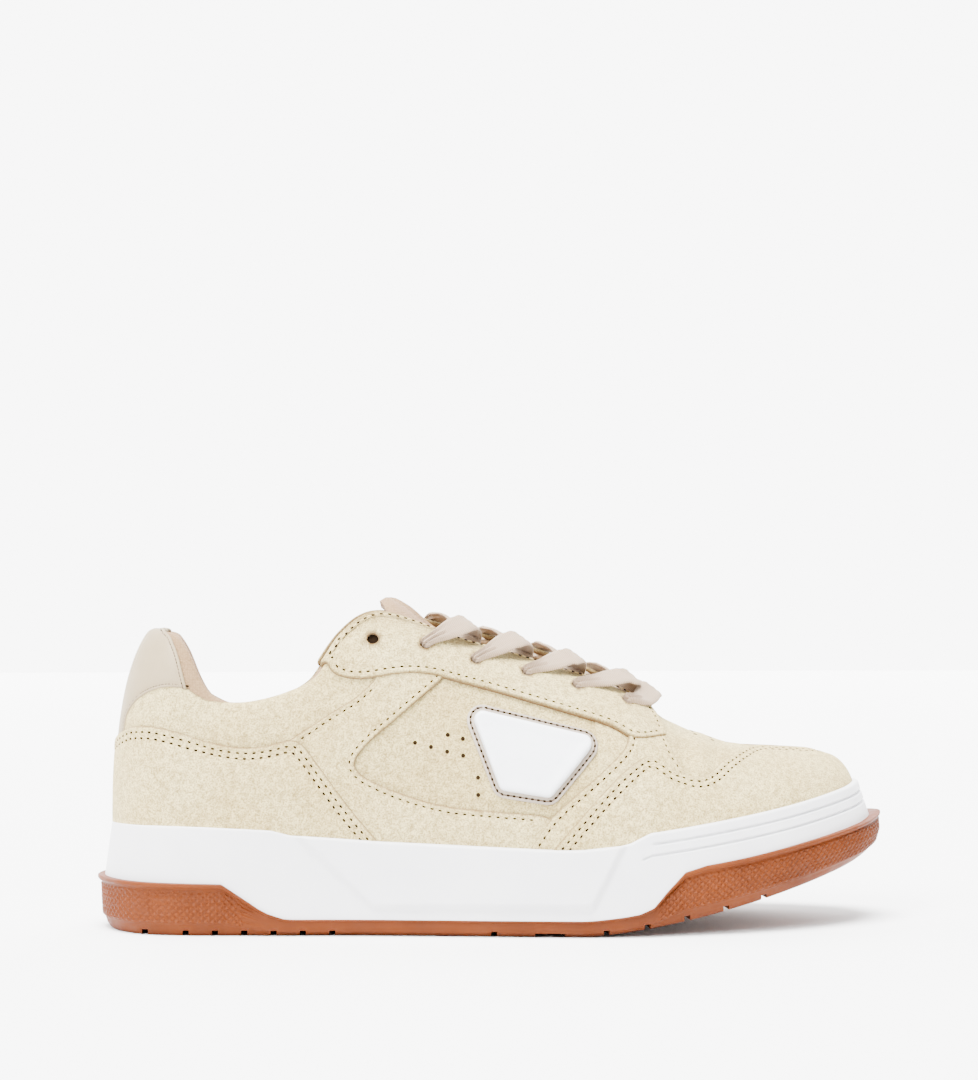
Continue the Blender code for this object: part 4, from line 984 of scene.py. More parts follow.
def sewn_piece(name, finish, sides, nodes, **sheet):
    """A cut and sewn piece over one or both sides; sides maps a side to its segments."""
    points, faces, edge_colour_and_shade_shares = [], [], []
    for side, segments in sides.items():
        sewn_sheet(points, faces, edge_colour_and_shade_shares, side, segments, **sheet)
    piece_from(name, points, faces, finish, nodes, 0.004 * MM, cut=edge_colour_and_shade_shares)


STITCHES, HOLES, BROWN_STITCHES, PUNCHED, EYELET_SHADE_SPOTS = [], [], [], [], []


def sew(surface, line, rows, lift, thread=STITCHES, pitch=STITCH_PITCH):
    """Lay stitch rows inset from a line: each stitch's and hole's middle, direction, normal and length."""
    for row in rows:
        inset_line = surface.offset(line, row * MM)
        points = surface.read(inset_line)
        run = np.concatenate(([0.0], np.cumsum(np.linalg.norm(np.diff(points, axis=0), axis=1))))
        count = int(run[-1] / pitch)

        def share_at(mark):
            return np.array([[np.interp(mark, run, inset_line[:, k]) for k in (0, 1)]])

        for mark in (np.arange(count) + 0.5) * pitch + (run[-1] - count * pitch) / 2:
            reach = pitch * STITCH_SHARE / 2
            start, middle_point, end = (surface.read(share_at(mark + way * reach))[0] for way in (-1, 0, 1))
            length = np.linalg.norm(end - start)
            if length < pitch * STITCH_SHARE / 2:
                continue
            along = (end - start) / length
            normal = surface.normal(share_at(mark))[0]
            thread.append((middle_point + normal * lift, along, normal, length))
            # Each needle hole gets a dark bead of painted shade.
            hole_at = share_at(mark + pitch / 2)
            normal = surface.normal(hole_at)[0]
            HOLES.append((surface.read(hole_at)[0] + normal * (lift - HOLE_SINK), along, normal, 1.0))


def copies_of(template_points, template_faces, spots):
    """The template at each spot, X along it by its length and Z out, as one list of points and faces."""
    points, faces = [], []
    for middle_point, along, normal, length in spots:
        across = np.cross(normal, along)
        across /= np.linalg.norm(across)
        normal = np.cross(along, across)
        first = len(points)
        for x, y, z in template_points:
            points.append(middle_point + along * (x * length) + across * y + normal * z)
        faces.extend([[first + k for k in face] for face in template_faces])
    return points, faces


def bead(segments, turn, shape):
    """Points and faces of a small sphere of unit width, turned about Y and shaped by a function."""
    bpy.ops.object.select_all(action="DESELECT")
    bpy.ops.mesh.primitive_uv_sphere_add(segments=segments, ring_count=6, radius=0.5, rotation=(0, turn, 0))
    bpy.ops.object.transform_apply(location=False, rotation=True, scale=False)
    obj = bpy.context.active_object
    points = [shape(v.co) for v in obj.data.vertices]
    faces = [list(p.vertices) for p in obj.data.polygons]
    bpy.data.objects.remove(obj)
    return points, faces


# Base shell, with the padded collar and its lining

def make_upper_shell():
    """The lined body of the upper: outer face, rolled rim and lining, closed round the foot bed."""
    step = 2
    indices = sorted(set(range(0, GRID_ALONG + 1, step)) | {RIDGE_FROM - 1, RIDGE_FROM})
    first = GRID_UP - ROLL_ROWS
    body = list(range(0, first + 1, 3))
    points, faces, where = [], [], {}
    for side, surface in SURFACES.items():
        for n, i in enumerate(indices):
            station = i / GRID_ALONG
            rim = surface.rim[i]
            pad = padding_at(station)
            row = [surface.points[i, j] for j in body]
            inner = []
            for j in reversed(body):
                up = float(ease(j / first, 0.30, 0.86))
                wall = UPPER_WALL + pad * up + 0.8 * MM * (pad / COLLAR_PADDING) * math.sin(math.pi * up)
                inner.append(surface.points[i, j] - surface.raw_normals[i, j] * wall)
            if rim:
                centre, normal, up, wall = rim
                inner[0] = centre - normal * wall / 2
                for k in range(1, 2 * ROLL_ROWS):
                    turn = math.pi / 2 * k / ROLL_ROWS
                    row.append(centre + normal * (wall / 2 * math.cos(turn))
                               + up * (ROLL_SHARE * wall * math.sin(turn)))
            else:
                for k in range(1, ROLL_ROWS + 1):
                    row.append(surface.points[i, first + k])
                for k in range(ROLL_ROWS - 1, 0, -1):
                    row.append(surface.points[i, first + k] - surface.normals[i, first + k] * UPPER_WALL)
            row += inner
            for k, point in enumerate(row):
                where[side, n, k] = len(points)
                points.append(point)
    count = max(key[2] for key in where) + 1
    crest = len(body) + ROLL_ROWS - 1
    for side in SURFACES:
        for n in range(len(indices) - 1):
            closed = indices[n] >= RIDGE_FROM
            for k in range(count):
                following = (k + 1) % count
                if closed and k == crest:
                    continue
                face = [where[side, n, k], where[side, n + 1, k],
                        where[side, n + 1, following], where[side, n, following]]
                faces.append(face if side == OUTER else face[::-1])
    return piece_from("lined_upper", points, faces, "lining", ("upper",), 0.01 * MM, 60)


# Sewn pieces

def open_top(surface, x):
    """Station at which the rim's crest passes a place, in millimetres from the heel, behind the throat."""
    crest = surface.points[:RIDGE_FROM, -1, 0]
    return float(np.interp(x * MM - LENGTH / 2, crest, np.arange(RIDGE_FROM) / GRID_ALONG))


def counter_line(surface):
    line = traced(surface, COUNTER_EDGE)
    line[-1, 0] = 0.0
    return line


def guard_line(surface):
    """From the cup up the side and over the toe to the ridge."""
    low = surface.locate(side_view(curve(GUARD_EDGE)))
    plan = []
    for x, across in curve(GUARD_OVER_TOE):
        place = x * MM - LENGTH / 2
        plan.append((place, middle(place) + surface.side * across * MM))
    high = surface.locate(np.array(plan), (0, 1))
    line = eased(np.vstack((low, high)), 10)
    line[-1, 1] = 1.0
    return line


def make_counter():
    sides = {}
    for side, surface in SURFACES.items():
        line = counter_line(surface)
        bottom = low_line(surface, 0.0, line[0, 0])
        if side == OUTER:
            top_share = line[-1, 1]
        line[-1, 1] = top_share
        line = np.vstack((bottom[-1:], line[line[:, 1] > bottom[-1, 1]]))
        seam = np.linspace((0.0, top_share), (0.0, bottom[0, 1]), 40)
        sides[side] = [(bottom, False), (line, True), (seam, False)]
        sew(surface, line, DOUBLE_ROW, OVERLAP + SUEDE - STITCH_SINK)
    sewn_piece("heel_counter_suede", "suede", sides, ("heel_counter",), height=SUEDE, base=OVERLAP,
               rows=DOUBLE_ROW, puff=0.20 * MM)


def make_guard():
    sides = {}
    for side, surface in SURFACES.items():
        line = guard_line(surface)
        bottom = low_line(surface, line[0, 0], 1.0)
        if side == OUTER:
            crossing = line[-1, 0]
        line[-1, 0] = crossing
        line = np.vstack((bottom[:1], line[line[:, 1] > bottom[0, 1]]))[::-1]
        tip = np.linspace((1.0, bottom[-1, 1]), (1.0, 1.0), 60)
        ridge = np.linspace((1.0, 1.0), (crossing, 1.0), 60)
        sides[side] = [(bottom, False), (tip, False), (ridge, False), (line, True)]
        sew(surface, line, DOUBLE_ROW, OVERLAP + SUEDE - STITCH_SINK)
    sewn_piece("toe_guard_suede", "suede", sides, ("toe_guard",), height=SUEDE, base=OVERLAP,
               rows=DOUBLE_ROW, puff=0.20 * MM)


def make_tab():
    sides = {}
    for side, surface in SURFACES.items():
        front, lower = traced(surface, TAB_FRONT), traced(surface, TAB_LOWER)
        lower[-1, 0] = max(lower[-1, 0], 0.004)
        top = between((0.0, TAB_CREST), (front[0, 0], TAB_CREST))
        front = np.vstack((top[-1:], front[front[:, 1] < TAB_CREST]))
        if side == OUTER:
            foot_share = lower[-1, 1]
        bottom = between(lower[-1], (0.0, foot_share))
        seam = np.linspace((0.0, foot_share), (0.0, TAB_CREST), 40)
        sides[side] = [(seam[::-1], False), (bottom[::-1], False), (lower[::-1], True),
                       (front[::-1], True), (top[::-1], True)]
        for line in (lower, front):
            sew(surface, line[::-1], TAB_ROW, LEATHER, BROWN_STITCHES, 2.6 * MM)
    sewn_piece("heel_tab_leather", "leather", sides, ("heel_tab",), height=LEATHER, base=TAB_BASE,
               rows=TAB_ROW, puff=0.0)


def make_collar_panels():
    """Soft suede over the padding, from under the heel tab to under the eyestay."""
    for side, surface in SURFACES.items():
        under = surface.offset(counter_line(surface), UNDERLAP)
        rise = surface.offset(traced(surface, COLLAR_SEAM), UNDERLAP)[::-1]
        front, turn, rear = (open_top(surface, x) for x in COLLAR_TOP_PLACES)
        crest = between((front, COLLAR_CREST), (rear, COLLAR_CREST))
        down = traced(surface, COLLAR_REAR)
        top = eased(np.vstack((crest, down[down[:, 1] < COLLAR_CREST])), 12)
        split = int(np.argmax(top[:, 0] < turn))
        climb, top = top[:split + 1], top[split:]
        back = between(top[-1], UNDER_TAB)
        low = under[(under[:, 0] > UNDER_TAB[0]) & (under[:, 0] < rise[0, 0])][::-1]
        hidden = np.vstack((back[-1:], low, rise, between(rise[-1], climb[0])[1:]))
        sewn_piece(f"collar_suede_{LABELS[side]}", "suede",
                   {side: [(hidden, False), (climb, False), (top, True), (back, False)]}, (),
                   height=COLLAR_SUEDE, base=0.05 * MM, spacing=1.6 * MM)


def make_quarters():
    for side, surface in SURFACES.items():
        window, seam = traced(surface, WINDOW), traced(surface, COLLAR_SEAM)
        strap = surface.offset(traced(surface, STRAP_REAR), UNDERLAP)
        stay = surface.offset(traced(surface, EYESTAY_EDGE), UNDERLAP)
        counter = surface.offset(counter_line(surface), UNDERLAP)
        counter = counter[counter[:, 0] > seam[-1, 0] - 0.004]
        bottom = low_line(surface, counter[0, 0] - 0.01, strap[-1, 0])
        right = strap[(strap[:, 1] > bottom[-1, 1]) & (strap[:, 1] < window[0, 1])][::-1]
        right = np.vstack((bottom[-1:], right, window[:1]))
        over = stay[(stay[:, 0] < window[-1, 0]) & (stay[:, 0] > seam[0, 0])][::-1]
        over = np.vstack((window[-1:], over, seam[:1]))
        hidden = np.vstack((between(seam[-1], counter[-1])[:-1], counter[::-1]))
        hidden = np.vstack((seam[-1:], hidden[hidden[:, 1] > bottom[0, 1]], bottom[:1]))
        sewn_piece(f"quarter_suede_{LABELS[side]}", "suede",
                   {side: [(bottom, False), (right, False), (window, True), (over, False), (seam, True),
                           (hidden, False)]},
                   (f"quarter_{LABELS[side]}",), height=LIGHT_SUEDE, base=QUARTER_BASE, rows=QUARTER_ROW,
                   puff=0.24 * MM)
        for line in (window, seam):
            sew(surface, line, QUARTER_ROW, QUARTER_BASE + LIGHT_SUEDE - STITCH_SINK)


def straight_edges(corners):
    """Uncut edges from each corner in shares to the next, and back to the first."""
    return [(between(a, b), False) for a, b in zip(corners, corners[1:] + corners[:1])]


def make_underlays():
    """Window panel on each side and the vamp over the toes: thin suede under the sewn pieces."""
    for side in SURFACES:
        sewn_piece(f"window_panel_{LABELS[side]}", "suede_thin", {side: straight_edges(WINDOW_PANEL)}, (),
                   height=0.15 * MM, spacing=2.2 * MM)
    sewn_piece("vamp_suede", "suede", {side: straight_edges(VAMP) for side in SURFACES}, (),
               height=0.45 * MM, spacing=1.8 * MM)


def eyelet_rings(surface):
    """The eyelets' edges as closed lines in shares."""
    rings = []
    for n in range(EYELETS):
        station, across = eyelet_spot(n, surface.side)
        centre = np.array(form_point(station, surface.side, across))
        st = surface.locate(centre[None, (0, 2)])
        along, up = surface.slopes(st)[0].T
        along = along / np.linalg.norm(along)
        up = up - along * (up @ along)
        up = up / np.linalg.norm(up)
        turns = np.linspace(0, 2 * math.pi, EYELET_CORNERS + 1)[:-1]
        centre = surface.read(st)[0]
        goal = np.array([centre + EYELET_RADIUS * (math.cos(a) * along + math.sin(a) * up) for a in turns])
        rings.append(surface.settle(np.repeat(st, len(turns), axis=0), goal, [0, 1, 2], 6))
        normal = surface.normal(st)[0]
        # A dark bead of painted shade sits in each eyelet.
        EYELET_SHADE_SPOTS.append((centre + normal * EYELET_SHADE_HEIGHT, along, normal, 1.0))
    return rings


def make_eyestays():
    for side, surface in SURFACES.items():
        lower, front = traced(surface, EYESTAY_EDGE), traced(surface, EYESTAY_FRONT)
        lower = lower[lower[:, 1] < STAY_TURN]
        rear = between((lower[0, 0] - 0.012, STAY_CREST), lower[0])
        lower = eased(np.vstack((rear[:-1], lower)), 6)
        front = np.vstack((lower[-1:], front[1:]))
        front = np.vstack((front[front[:, 1] < STAY_CREST], [(front[-1, 0] + 0.004, STAY_CREST)]))
        throat = between(front[-1], lower[0], 1.2)
        sewn_piece(f"eyestay_suede_{LABELS[side]}", "suede",
                   {side: [(lower, True), (front, True), (throat, True)]},
                   (f"eyestay_{LABELS[side]}",), height=SUEDE, base=OVERLAP, rows=STAY_ROW, puff=0.30 * MM,
                   holes=eyelet_rings(surface))
        for line in (lower[3:], front, throat[:-3]):
            sew(surface, line, STAY_ROW, OVERLAP + SUEDE - STITCH_SINK)


def make_straps():
    for side, surface in SURFACES.items():
        rear, front = traced(surface, STRAP_REAR), traced(surface, STRAP_FRONT)
        guard = surface.offset(guard_line(surface), -UNDERLAP)
        bottom = low_line(surface, rear[-1, 0], guard[0, 0] + 0.012)
        rear = np.vstack((rear[rear[:, 1] > bottom[0, 1]], bottom[:1]))
        climb = guard[(guard[:, 1] > bottom[-1, 1]) & (guard[:, 0] < front[0, 0])]
        right = np.vstack((bottom[-1:], climb, front[:1]))
        top = between(front[-1], rear[0])
        sewn_piece(f"strap_suede_{LABELS[side]}", "suede",
                   {side: [(bottom, False), (right, False), (front, True), (top, False), (rear, True)]},
                   (f"strap_{LABELS[side]}",), height=LIGHT_SUEDE, base=STRAP_BASE, rows=STRAP_ROW,
                   puff=0.20 * MM)
        for line in (rear, front):
            sew(surface, line, STRAP_ROW, STRAP_BASE + LIGHT_SUEDE - STITCH_SINK)


def rounded_corners(corners, radius, grow=0.0):
    """A polygon with arcs for corners, in millimetres, moved outwards by grow; it runs anticlockwise."""
    corners = [Vector(c) for c in corners]
    made = []
    for k, corner in enumerate(corners):
        before, after = corners[k - 1], corners[(k + 1) % len(corners)]
        a, b = (before - corner).normalized(), (after - corner).normalized()
        half = math.acos(max(-1, min(1, a.dot(b)))) / 2
        centre = corner + (a + b).normalized() * (radius / math.sin(half))
        reach = radius + grow
        start = math.atan2(*reversed(corner + a * (radius / math.tan(half)) - centre))
        end = math.atan2(*reversed(corner + b * (radius / math.tan(half)) - centre))
        turn = (end - start + math.pi) % (2 * math.pi) - math.pi
        for angle in np.linspace(start, start + turn, CORNER_STEPS + 1):
            made.append(centre + Vector((math.cos(angle), math.sin(angle))) * reach)
    closed = made + made[:1]
    dense = []
    for a, b in zip(closed, closed[1:]):
        count = max(1, round((b - a).length / 1.0))
        dense += [tuple(a.lerp(b, i / count)) for i in range(count)]
    if sum(a[0] * b[1] - b[0] * a[1] for a, b in zip(dense, dense[1:] + dense[:1])) < 0:
        dense.reverse()
    return dense + dense[:1]


def make_plates():
    """Moulded plate on its stitched backing: steep sides, a rounded shoulder and a slightly dished face."""
    rings = [(inset, height * MM / PLATE) for inset, height in PLATE_FORM]
    for side, surface in SURFACES.items():
        wide = rounded_corners(PLATE_CORNERS, PLATE_CORNER_RADIUS, BACKING_MARGIN)
        backing = surface.locate(side_view(wide))
        plate = surface.locate(side_view(rounded_corners(PLATE_CORNERS, PLATE_CORNER_RADIUS)))
        sewn_piece(f"plate_backing_leather_{LABELS[side]}", "backing", {side: [(backing, True)]},
                   (f"badge_backing_{LABELS[side]}",), height=LEATHER, base=0.2 * MM)
        sew(surface, backing, BACKING_ROW, LEATHER + 0.25 * MM, BROWN_STITCHES, 2.2 * MM)
        sewn_piece(f"side_plate_{LABELS[side]}", "plate", {side: [(plate, True)]}, (f"badge_{LABELS[side]}",),
                   height=PLATE, base=0.6 * MM, spacing=1.6 * MM, rings=rings)


def punch(surface, st, lift):
    for one in st[:, None, :]:
        normal, along = surface.normal(one)[0], surface.slopes(one)[0, :, 0] / SPAN_ALONG
        # Each punched hole is a dark bead of painted shade.
        PUNCHED.append((surface.read(one)[0] + normal * lift, along, normal, 1.0))


def make_holes():
    """Punched holes behind the plate on each side, and in staggered rows over the toes, as dark beads of
    painted shade.
    """
    for side, surface in SURFACES.items():
        punch(surface, surface.locate(side_view(HOLES_BEHIND_PLATE)), 0.18 * MM)
        places = [(x * MM - LENGTH / 2, across * MM) for x, across in TOE_HOLES]
        plan = np.array([(x, middle(x) + side * across) for x, across in places])
        punch(surface, surface.locate(plan, (0, 1)), 0.47 * MM)


def make_threads():
    """Every stitch and hole, each kind one joined piece."""
    def stitch_form(co):
        """A stitch of unit length, whose ends dip into the suede."""
        x = math.copysign(abs(2 * co.x) ** 0.6 / 2, co.x)
        return x, co.y * THREAD_WIDTH, co.z * THREAD_HEIGHT - STITCH_DIP * (2 * co.x) ** 2

    stitch = bead(8, math.pi / 2, stitch_form)
    for name, finish, spots in (("suede_stitches", "thread", STITCHES),
                                ("leather_stitches", "brown_thread", BROWN_STITCHES)):
        piece_from(name, *copies_of(*stitch, spots), finish)
    # The holes are dark beads of painted shade.
    for name, finish, spots, long, wide, deep in (
            ("needle_holes", "needle_hole", HOLES, 1.5, 0.85, 0.36),
            ("punched_holes", "punched_hole", PUNCHED, 1.6, 1.6, 0.20),
            ("eyelet_beds", "eyelet_bed", EYELET_SHADE_SPOTS, 4.8, 4.8, 0.5)):
        hole = bead(10, 0.0, lambda co: (co.x * long * MM, co.y * wide * MM, co.z * deep * MM))
        piece_from(name, *copies_of(*hole, spots), finish)


# Sole

def at(station, side, out, height):
    plan = outline(station, side, out)
    return (plan.x, plan.y, height(plan.x))


def ring(name, finish, stations, profile, nodes, angle=35.0):
    """A closed sole piece from the profile at each station of both sides, floored and lidded across."""
    points, faces, where = [], [], {}
    for side in (OUTER, INNER):
        for i, station in enumerate(stations):
            for k, point in enumerate(profile(station, side)):
                where[side, i, k] = len(points)
                points.append(point)
    rows = 1 + max(key[2] for key in where)
    for i in range(len(stations) - 1):
        for side in (OUTER, INNER):
            for k in range(rows - 1):
                face = [where[side, i, k], where[side, i + 1, k],
                        where[side, i + 1, k + 1], where[side, i, k + 1]]
                faces.append(face if side == OUTER else face[::-1])
        for k, flip in ((0, True), (rows - 1, False)):
            face = [where[OUTER, i, k], where[OUTER, i + 1, k], where[INNER, i + 1, k], where[INNER, i, k]]
            faces.append(face[::-1] if flip else face)
    return piece_from(name, points, faces, finish, nodes, 0.004 * MM, angle)


def rubber_inside(station):
    return min(read(REACH, "rubber", station) - RUBBER_WALL, read(REACH, "foot", station) - GAP)


RUBBER_HEEL = ((0.0, 5.0), (0.04, 4.2), (0.10, 3.5), (0.16, 3.1), (0.20, 2.9), (0.235, 2.3),
               (0.55, 1.9), (0.84, 1.7), (0.885, 1.4), (0.91, 0.5), (0.94, 0.0), (0.985, 0.0),
               (1.0, 0.4))
RUBBER_TOE = ((0.0, 8.5), (0.04, 6.8), (0.10, 5.0), (0.16, 3.8), (0.20, 3.2), (0.235, 2.1), (0.55, 0.7),
              (0.84, 1.0), (0.885, 1.1), (0.91, 0.4), (0.94, 0.0), (0.985, 0.0), (1.0, 0.4))
TEXTURED = (0.245, 0.86)      # shares of the rubber wall's height between which it is textured
DIAMOND = 2.5 * MM            # pitch of the moulded diamonds
DIAMOND_HEIGHT = 0.60 * MM


def outsole_rows():
    heights = [h for h, _ in RUBBER_HEEL if not TEXTURED[0] < h < TEXTURED[1]]
    return sorted(heights + list(np.linspace(TEXTURED[0], TEXTURED[1], 26)))


def make_outsole():
    rows = outsole_rows()
    fine = 0.50 * MM / SPAN_ALONG
    stations = []
    for start, end, step in ((0.0, 0.20, fine), (0.20, 0.62, 6 * fine), (0.62, 1.0, fine)):
        stations += list(np.arange(start, end, step))
    stations.append(1.0)

    def profile(station, side):
        lip, toe = read(REACH, "rubber", station), float(ease(station, 0.60, 0.97))
        run = station * SIDES[side][2]
        made = []
        for share in rows:
            heel = np.interp(share, *zip(*RUBBER_HEEL))
            stand = (heel + (np.interp(share, *zip(*RUBBER_TOE)) - heel) * toe) * MM
            x = outline(station, side, lip).x
            wall = rubber_edge(x) - spring(x)
            tall = float(ease(wall, 8 * MM, 12 * MM))
            raised = 0.0
            if TEXTURED[0] < share < TEXTURED[1]:
                up = share * wall
                a, b = (run + up) / DIAMOND % 1.0, (run - up) / DIAMOND % 1.0
                peak = 1 - 2 * max(abs(a - 0.5), abs(b - 0.5))
                raised = DIAMOND_HEIGHT * min(1.0, 1.6 * peak) * tall
            out = lip - stand + raised
            made.append(at(station, side, out,
                           lambda own: spring(own) + (rubber_edge(own) - spring(own)) * share))
        made.append(at(station, side, rubber_inside(station), rubber_edge))
        made.append(at(station, side, rubber_inside(station), slab_top))
        return made

    outsole = ring("gum_outsole", "gum", stations, profile, ("outsole",), 32)
    spots = []
    for first, count, pitch in CHANNELS[1:]:
        spots += [((first - 0.5) * LENGTH + n * pitch, GROOVE_WIDTH, GROOVE_DEPTH) for n in range(count)]
    low, high = ARCH_RECESS
    spots.append((((low + high) / 2 - 0.5) * LENGTH, (high - low) * LENGTH, 0.75 * GROOVE_DEPTH))
    for x, width, depth in spots:
        bpy.ops.object.select_all(action="DESELECT")
        slope = math.atan2(spring(x + width) - spring(x - width), 2 * width)
        bpy.ops.mesh.primitive_cube_add(size=1.0, location=(x, 0, spring(x)), rotation=(0, -slope, 0),
                                        scale=(width, 2 * BALL_WIDTH, 2 * depth))
        cutter = bpy.context.active_object
        modifier = outsole.modifiers.new("channel", "BOOLEAN")
        modifier.operation, modifier.object = "DIFFERENCE", cutter
        bpy.ops.object.select_all(action="DESELECT")
        outsole.select_set(True)
        bpy.context.view_layer.objects.active = outsole
        bpy.ops.object.modifier_apply(modifier=modifier.name)
        bpy.data.objects.remove(cutter)
    return outsole


# Millimetres below the cup's edge, and from the heel where each groove starts and ends
GROOVES = ((4.0, 199.7, 289.5), (8.0, 195.9, 291.5))
GROOVE_FORM = ((-0.75, 0.0), (-0.45, 0.45), (-0.2, 0.85), (0.0, 0.95), (0.2, 0.85), (0.45, 0.45),
               (0.75, 0.0))
PANEL = ((68.3, 38.6), (99.8, 9.2), (178.5, 9.6), (191.6, 35.5), (192.5, 40.0), (68.0, 40.5))
PANEL_RAISE = 1.5 * MM
PANEL_BEVEL = 2.2


def panel_raise(x, z):
    """The faceted arch panel's rise, bevelled inwards; its place in mm from the heel and the floor."""
    inset = 1e9
    for (ax, az), (bx, bz) in zip(PANEL, PANEL[1:] + PANEL[:1]):
        length = math.hypot(bx - ax, bz - az)
        inset = min(inset, ((bx - ax) * (z - az) - (bz - az) * (x - ax)) / length)
    return PANEL_RAISE * min(1.0, max(0.0, inset / PANEL_BEVEL))


def cup_side(station, side, below, sunk=0.0):
    """Point of the cup's outer wall, below its edge and sunk into it."""
    foot_out, edge_out = read(REACH, "foot", station), read(REACH, "edge", station)
    x = outline(station, side, edge_out).x
    wall = cup_edge(x) - rubber_edge(x) + 0.4 * MM
    share = min(1.0, below / wall)
    plan = outline(station, side, edge_out + (foot_out - edge_out) * share - sunk)
    height = cup_edge(plan.x) - (cup_edge(plan.x) - rubber_edge(plan.x) + 0.4 * MM) * share
    return plan, height


def make_cup():
    stations = list(np.linspace(0, 1, 391))
    forms = [below + at_form for below, _, _ in GROOVES for at_form, _ in GROOVE_FORM]
    lows = sorted(set([0.15, 0.4, 0.8, 1.3, 2.0, 2.7] + [round(f, 3) for f in forms] + [9.6, 10.6, 11.6])
                  | set(np.linspace(12.6, 33.0, 22)))
    rounding = ((0.0, 0.85), (0.15, 0.45), (0.4, 0.16), (0.8, 0.0))

    def profile(station, side):
        edge_x = outline(station, side).x
        hidden = rubber_inside(station) - 1.5 * MM
        made = [at(station, side, hidden, lambda x: slab_top(x) - 0.2 * MM),
                at(station, side, hidden, lambda x: rubber_edge(x) - 1.2 * MM)]
        x_mm = (edge_x + LENGTH / 2) / MM
        for below in reversed(lows):
            sunk = np.interp(below, *zip(*rounding)) * MM
            for depth_at, start, end in GROOVES:
                away = below - depth_at
                if abs(away) < 0.75:
                    share = float(ease(x_mm, start - 0.8, start + 1.2))
                    share *= float(ease(-x_mm, -end - 0.8, -end + 1.0))
                    sunk += np.interp(away, *zip(*GROOVE_FORM)) * MM * share
            plan, height = cup_side(station, side, below * MM, sunk)
            lift = panel_raise((plan.x + LENGTH / 2) / MM, height / MM)
            if lift:
                plan, height = cup_side(station, side, below * MM, sunk - lift)
            made.append((plan.x, plan.y, height))
        edge_out = read(REACH, "edge", station)
        for inwards in (1.3 * MM, 2.2 * MM):
            made.append(at(station, side, edge_out - inwards, cup_edge))
        made.append(at(station, side, -0.2 * MM, lambda x: cup_edge(x) - 1.0 * MM))
        made.append(at(station, side, -0.4 * MM, foot_bed))
        return made

    return ring("white_cup_sole", "cup", stations, profile, ("midsole",), 38)


def make_footbed():
    inset = -(UPPER_WALL + 1.1 * MM)

    def profile(station, side):
        made = [at(station, side, inset, lambda x: foot_bed(x) + GAP)]
        for inwards, rise in ((0.0, 4.6), (0.8, 5.6), (2.0, 5.9), (4.0, 5.4), (8.0, 4.6), (14.0, 4.1)):
            inwards = min(inwards, 90 * station + 0.2, 90 * (1 - station) + 0.2)
            made.append(at(station, side, inset - inwards * MM, lambda x: foot_bed(x) + rise * MM))
        return made

    return ring("cloth_footbed", "footbed", list(np.linspace(0.0, 1.0, 161)), profile, ("insole",), 60)


# Tongue and lace

def signed_form(station, signed):
    side = OUTER if signed < 0 else INNER
    return form_point(station, side, abs(signed)), form_normal(station, side, abs(signed))


TONGUE_TOP, TONGUE_END = 0.378, 0.775    # stations
TONGUE_DRAWN = 2.6 * MM
TONGUE_REACH = 11 * MM    # how far the tongue runs under the eyestays


def tongue_skin(station, signed):
    """Height of the tongue's face over the foot's form: it is drawn down between the eyestays."""
    half = max(top_point(station, INNER)[1], 1 * MM)
    share = min(1.0, abs(signed) / half)
    drawn = TONGUE_DRAWN * float(ease(station, 0.40, 0.45)) * (1 - share * share)
    return -(UPPER_WALL + TONGUE_CLEARANCE) - drawn


def make_tongue():
    """Padded tongue: a crowned cushion with a rolled edge, standing up at its top."""
    stations = np.linspace(TONGUE_TOP, TONGUE_END, 90)
    shares = np.linspace(-1, 1, 41)
    points, faces = [], []
    for layer in (0, 1):
        for station in stations:
            wide = across_at(station, INNER, TONGUE_REACH)
            if station < 0.42:
                spread = 1.0 * MM + 9 * MM * float(ease(station, TONGUE_TOP, 0.42))
                wide = min(wide, top_point(station, INNER)[1] + spread)
            lift = 1.8 * MM * (1 - float(ease(station, 0.385, 0.43)))
            for share in shares:
                point, normal = signed_form(station, share * wide)
                edge = min(1.0, (1 - abs(share)) * 7)
                end = min(1.0, (station - TONGUE_TOP) * SPAN_ALONG / (3.0 * MM))
                round_off = math.sqrt(max(0.0, 1 - (1 - edge) ** 2))
                round_off *= math.sqrt(max(0.0, 1 - (1 - end) ** 2))
                crown = TONGUE * (0.55 + 0.45 * math.cos(share * math.pi / 2) ** 0.8)
                centre = tongue_skin(station, share * wide) - crown / 2 + lift
                half = crown / 2 * round_off * (1 if layer == 0 else -1)
                points.append(point + normal * (centre + half))
    wide_count, long_count = len(shares), len(stations)
    span = wide_count * long_count
    for layer in (0, 1):
        for i in range(long_count - 1):
            for k in range(wide_count - 1):
                a = layer * span + i * wide_count + k
                face = [a, a + wide_count, a + wide_count + 1, a + 1]
                faces.append(face if layer == 0 else face[::-1])
    for i in range(long_count - 1):
        a = i * wide_count
        faces.append([a, a + span, a + span + wide_count, a + wide_count])
        b = a + wide_count - 1
        faces.append([b, b + wide_count, b + wide_count + span, b + span])
    last = (long_count - 1) * wide_count
    for k in range(wide_count - 1):
        faces.append([last + k, last + k + span, last + k + 1 + span, last + k + 1])
        faces.append([k, k + 1, k + 1 + span, k + span])
    tongue = piece_from("padded_tongue", points, faces, "lining", ("tongue",), 0.002 * MM, 60)
    bpy.ops.object.mode_set(mode="EDIT")
    bpy.ops.mesh.select_all(action="SELECT")
    bpy.ops.mesh.normals_make_consistent(inside=False)
    bpy.ops.object.mode_set(mode="OBJECT")
    return tongue


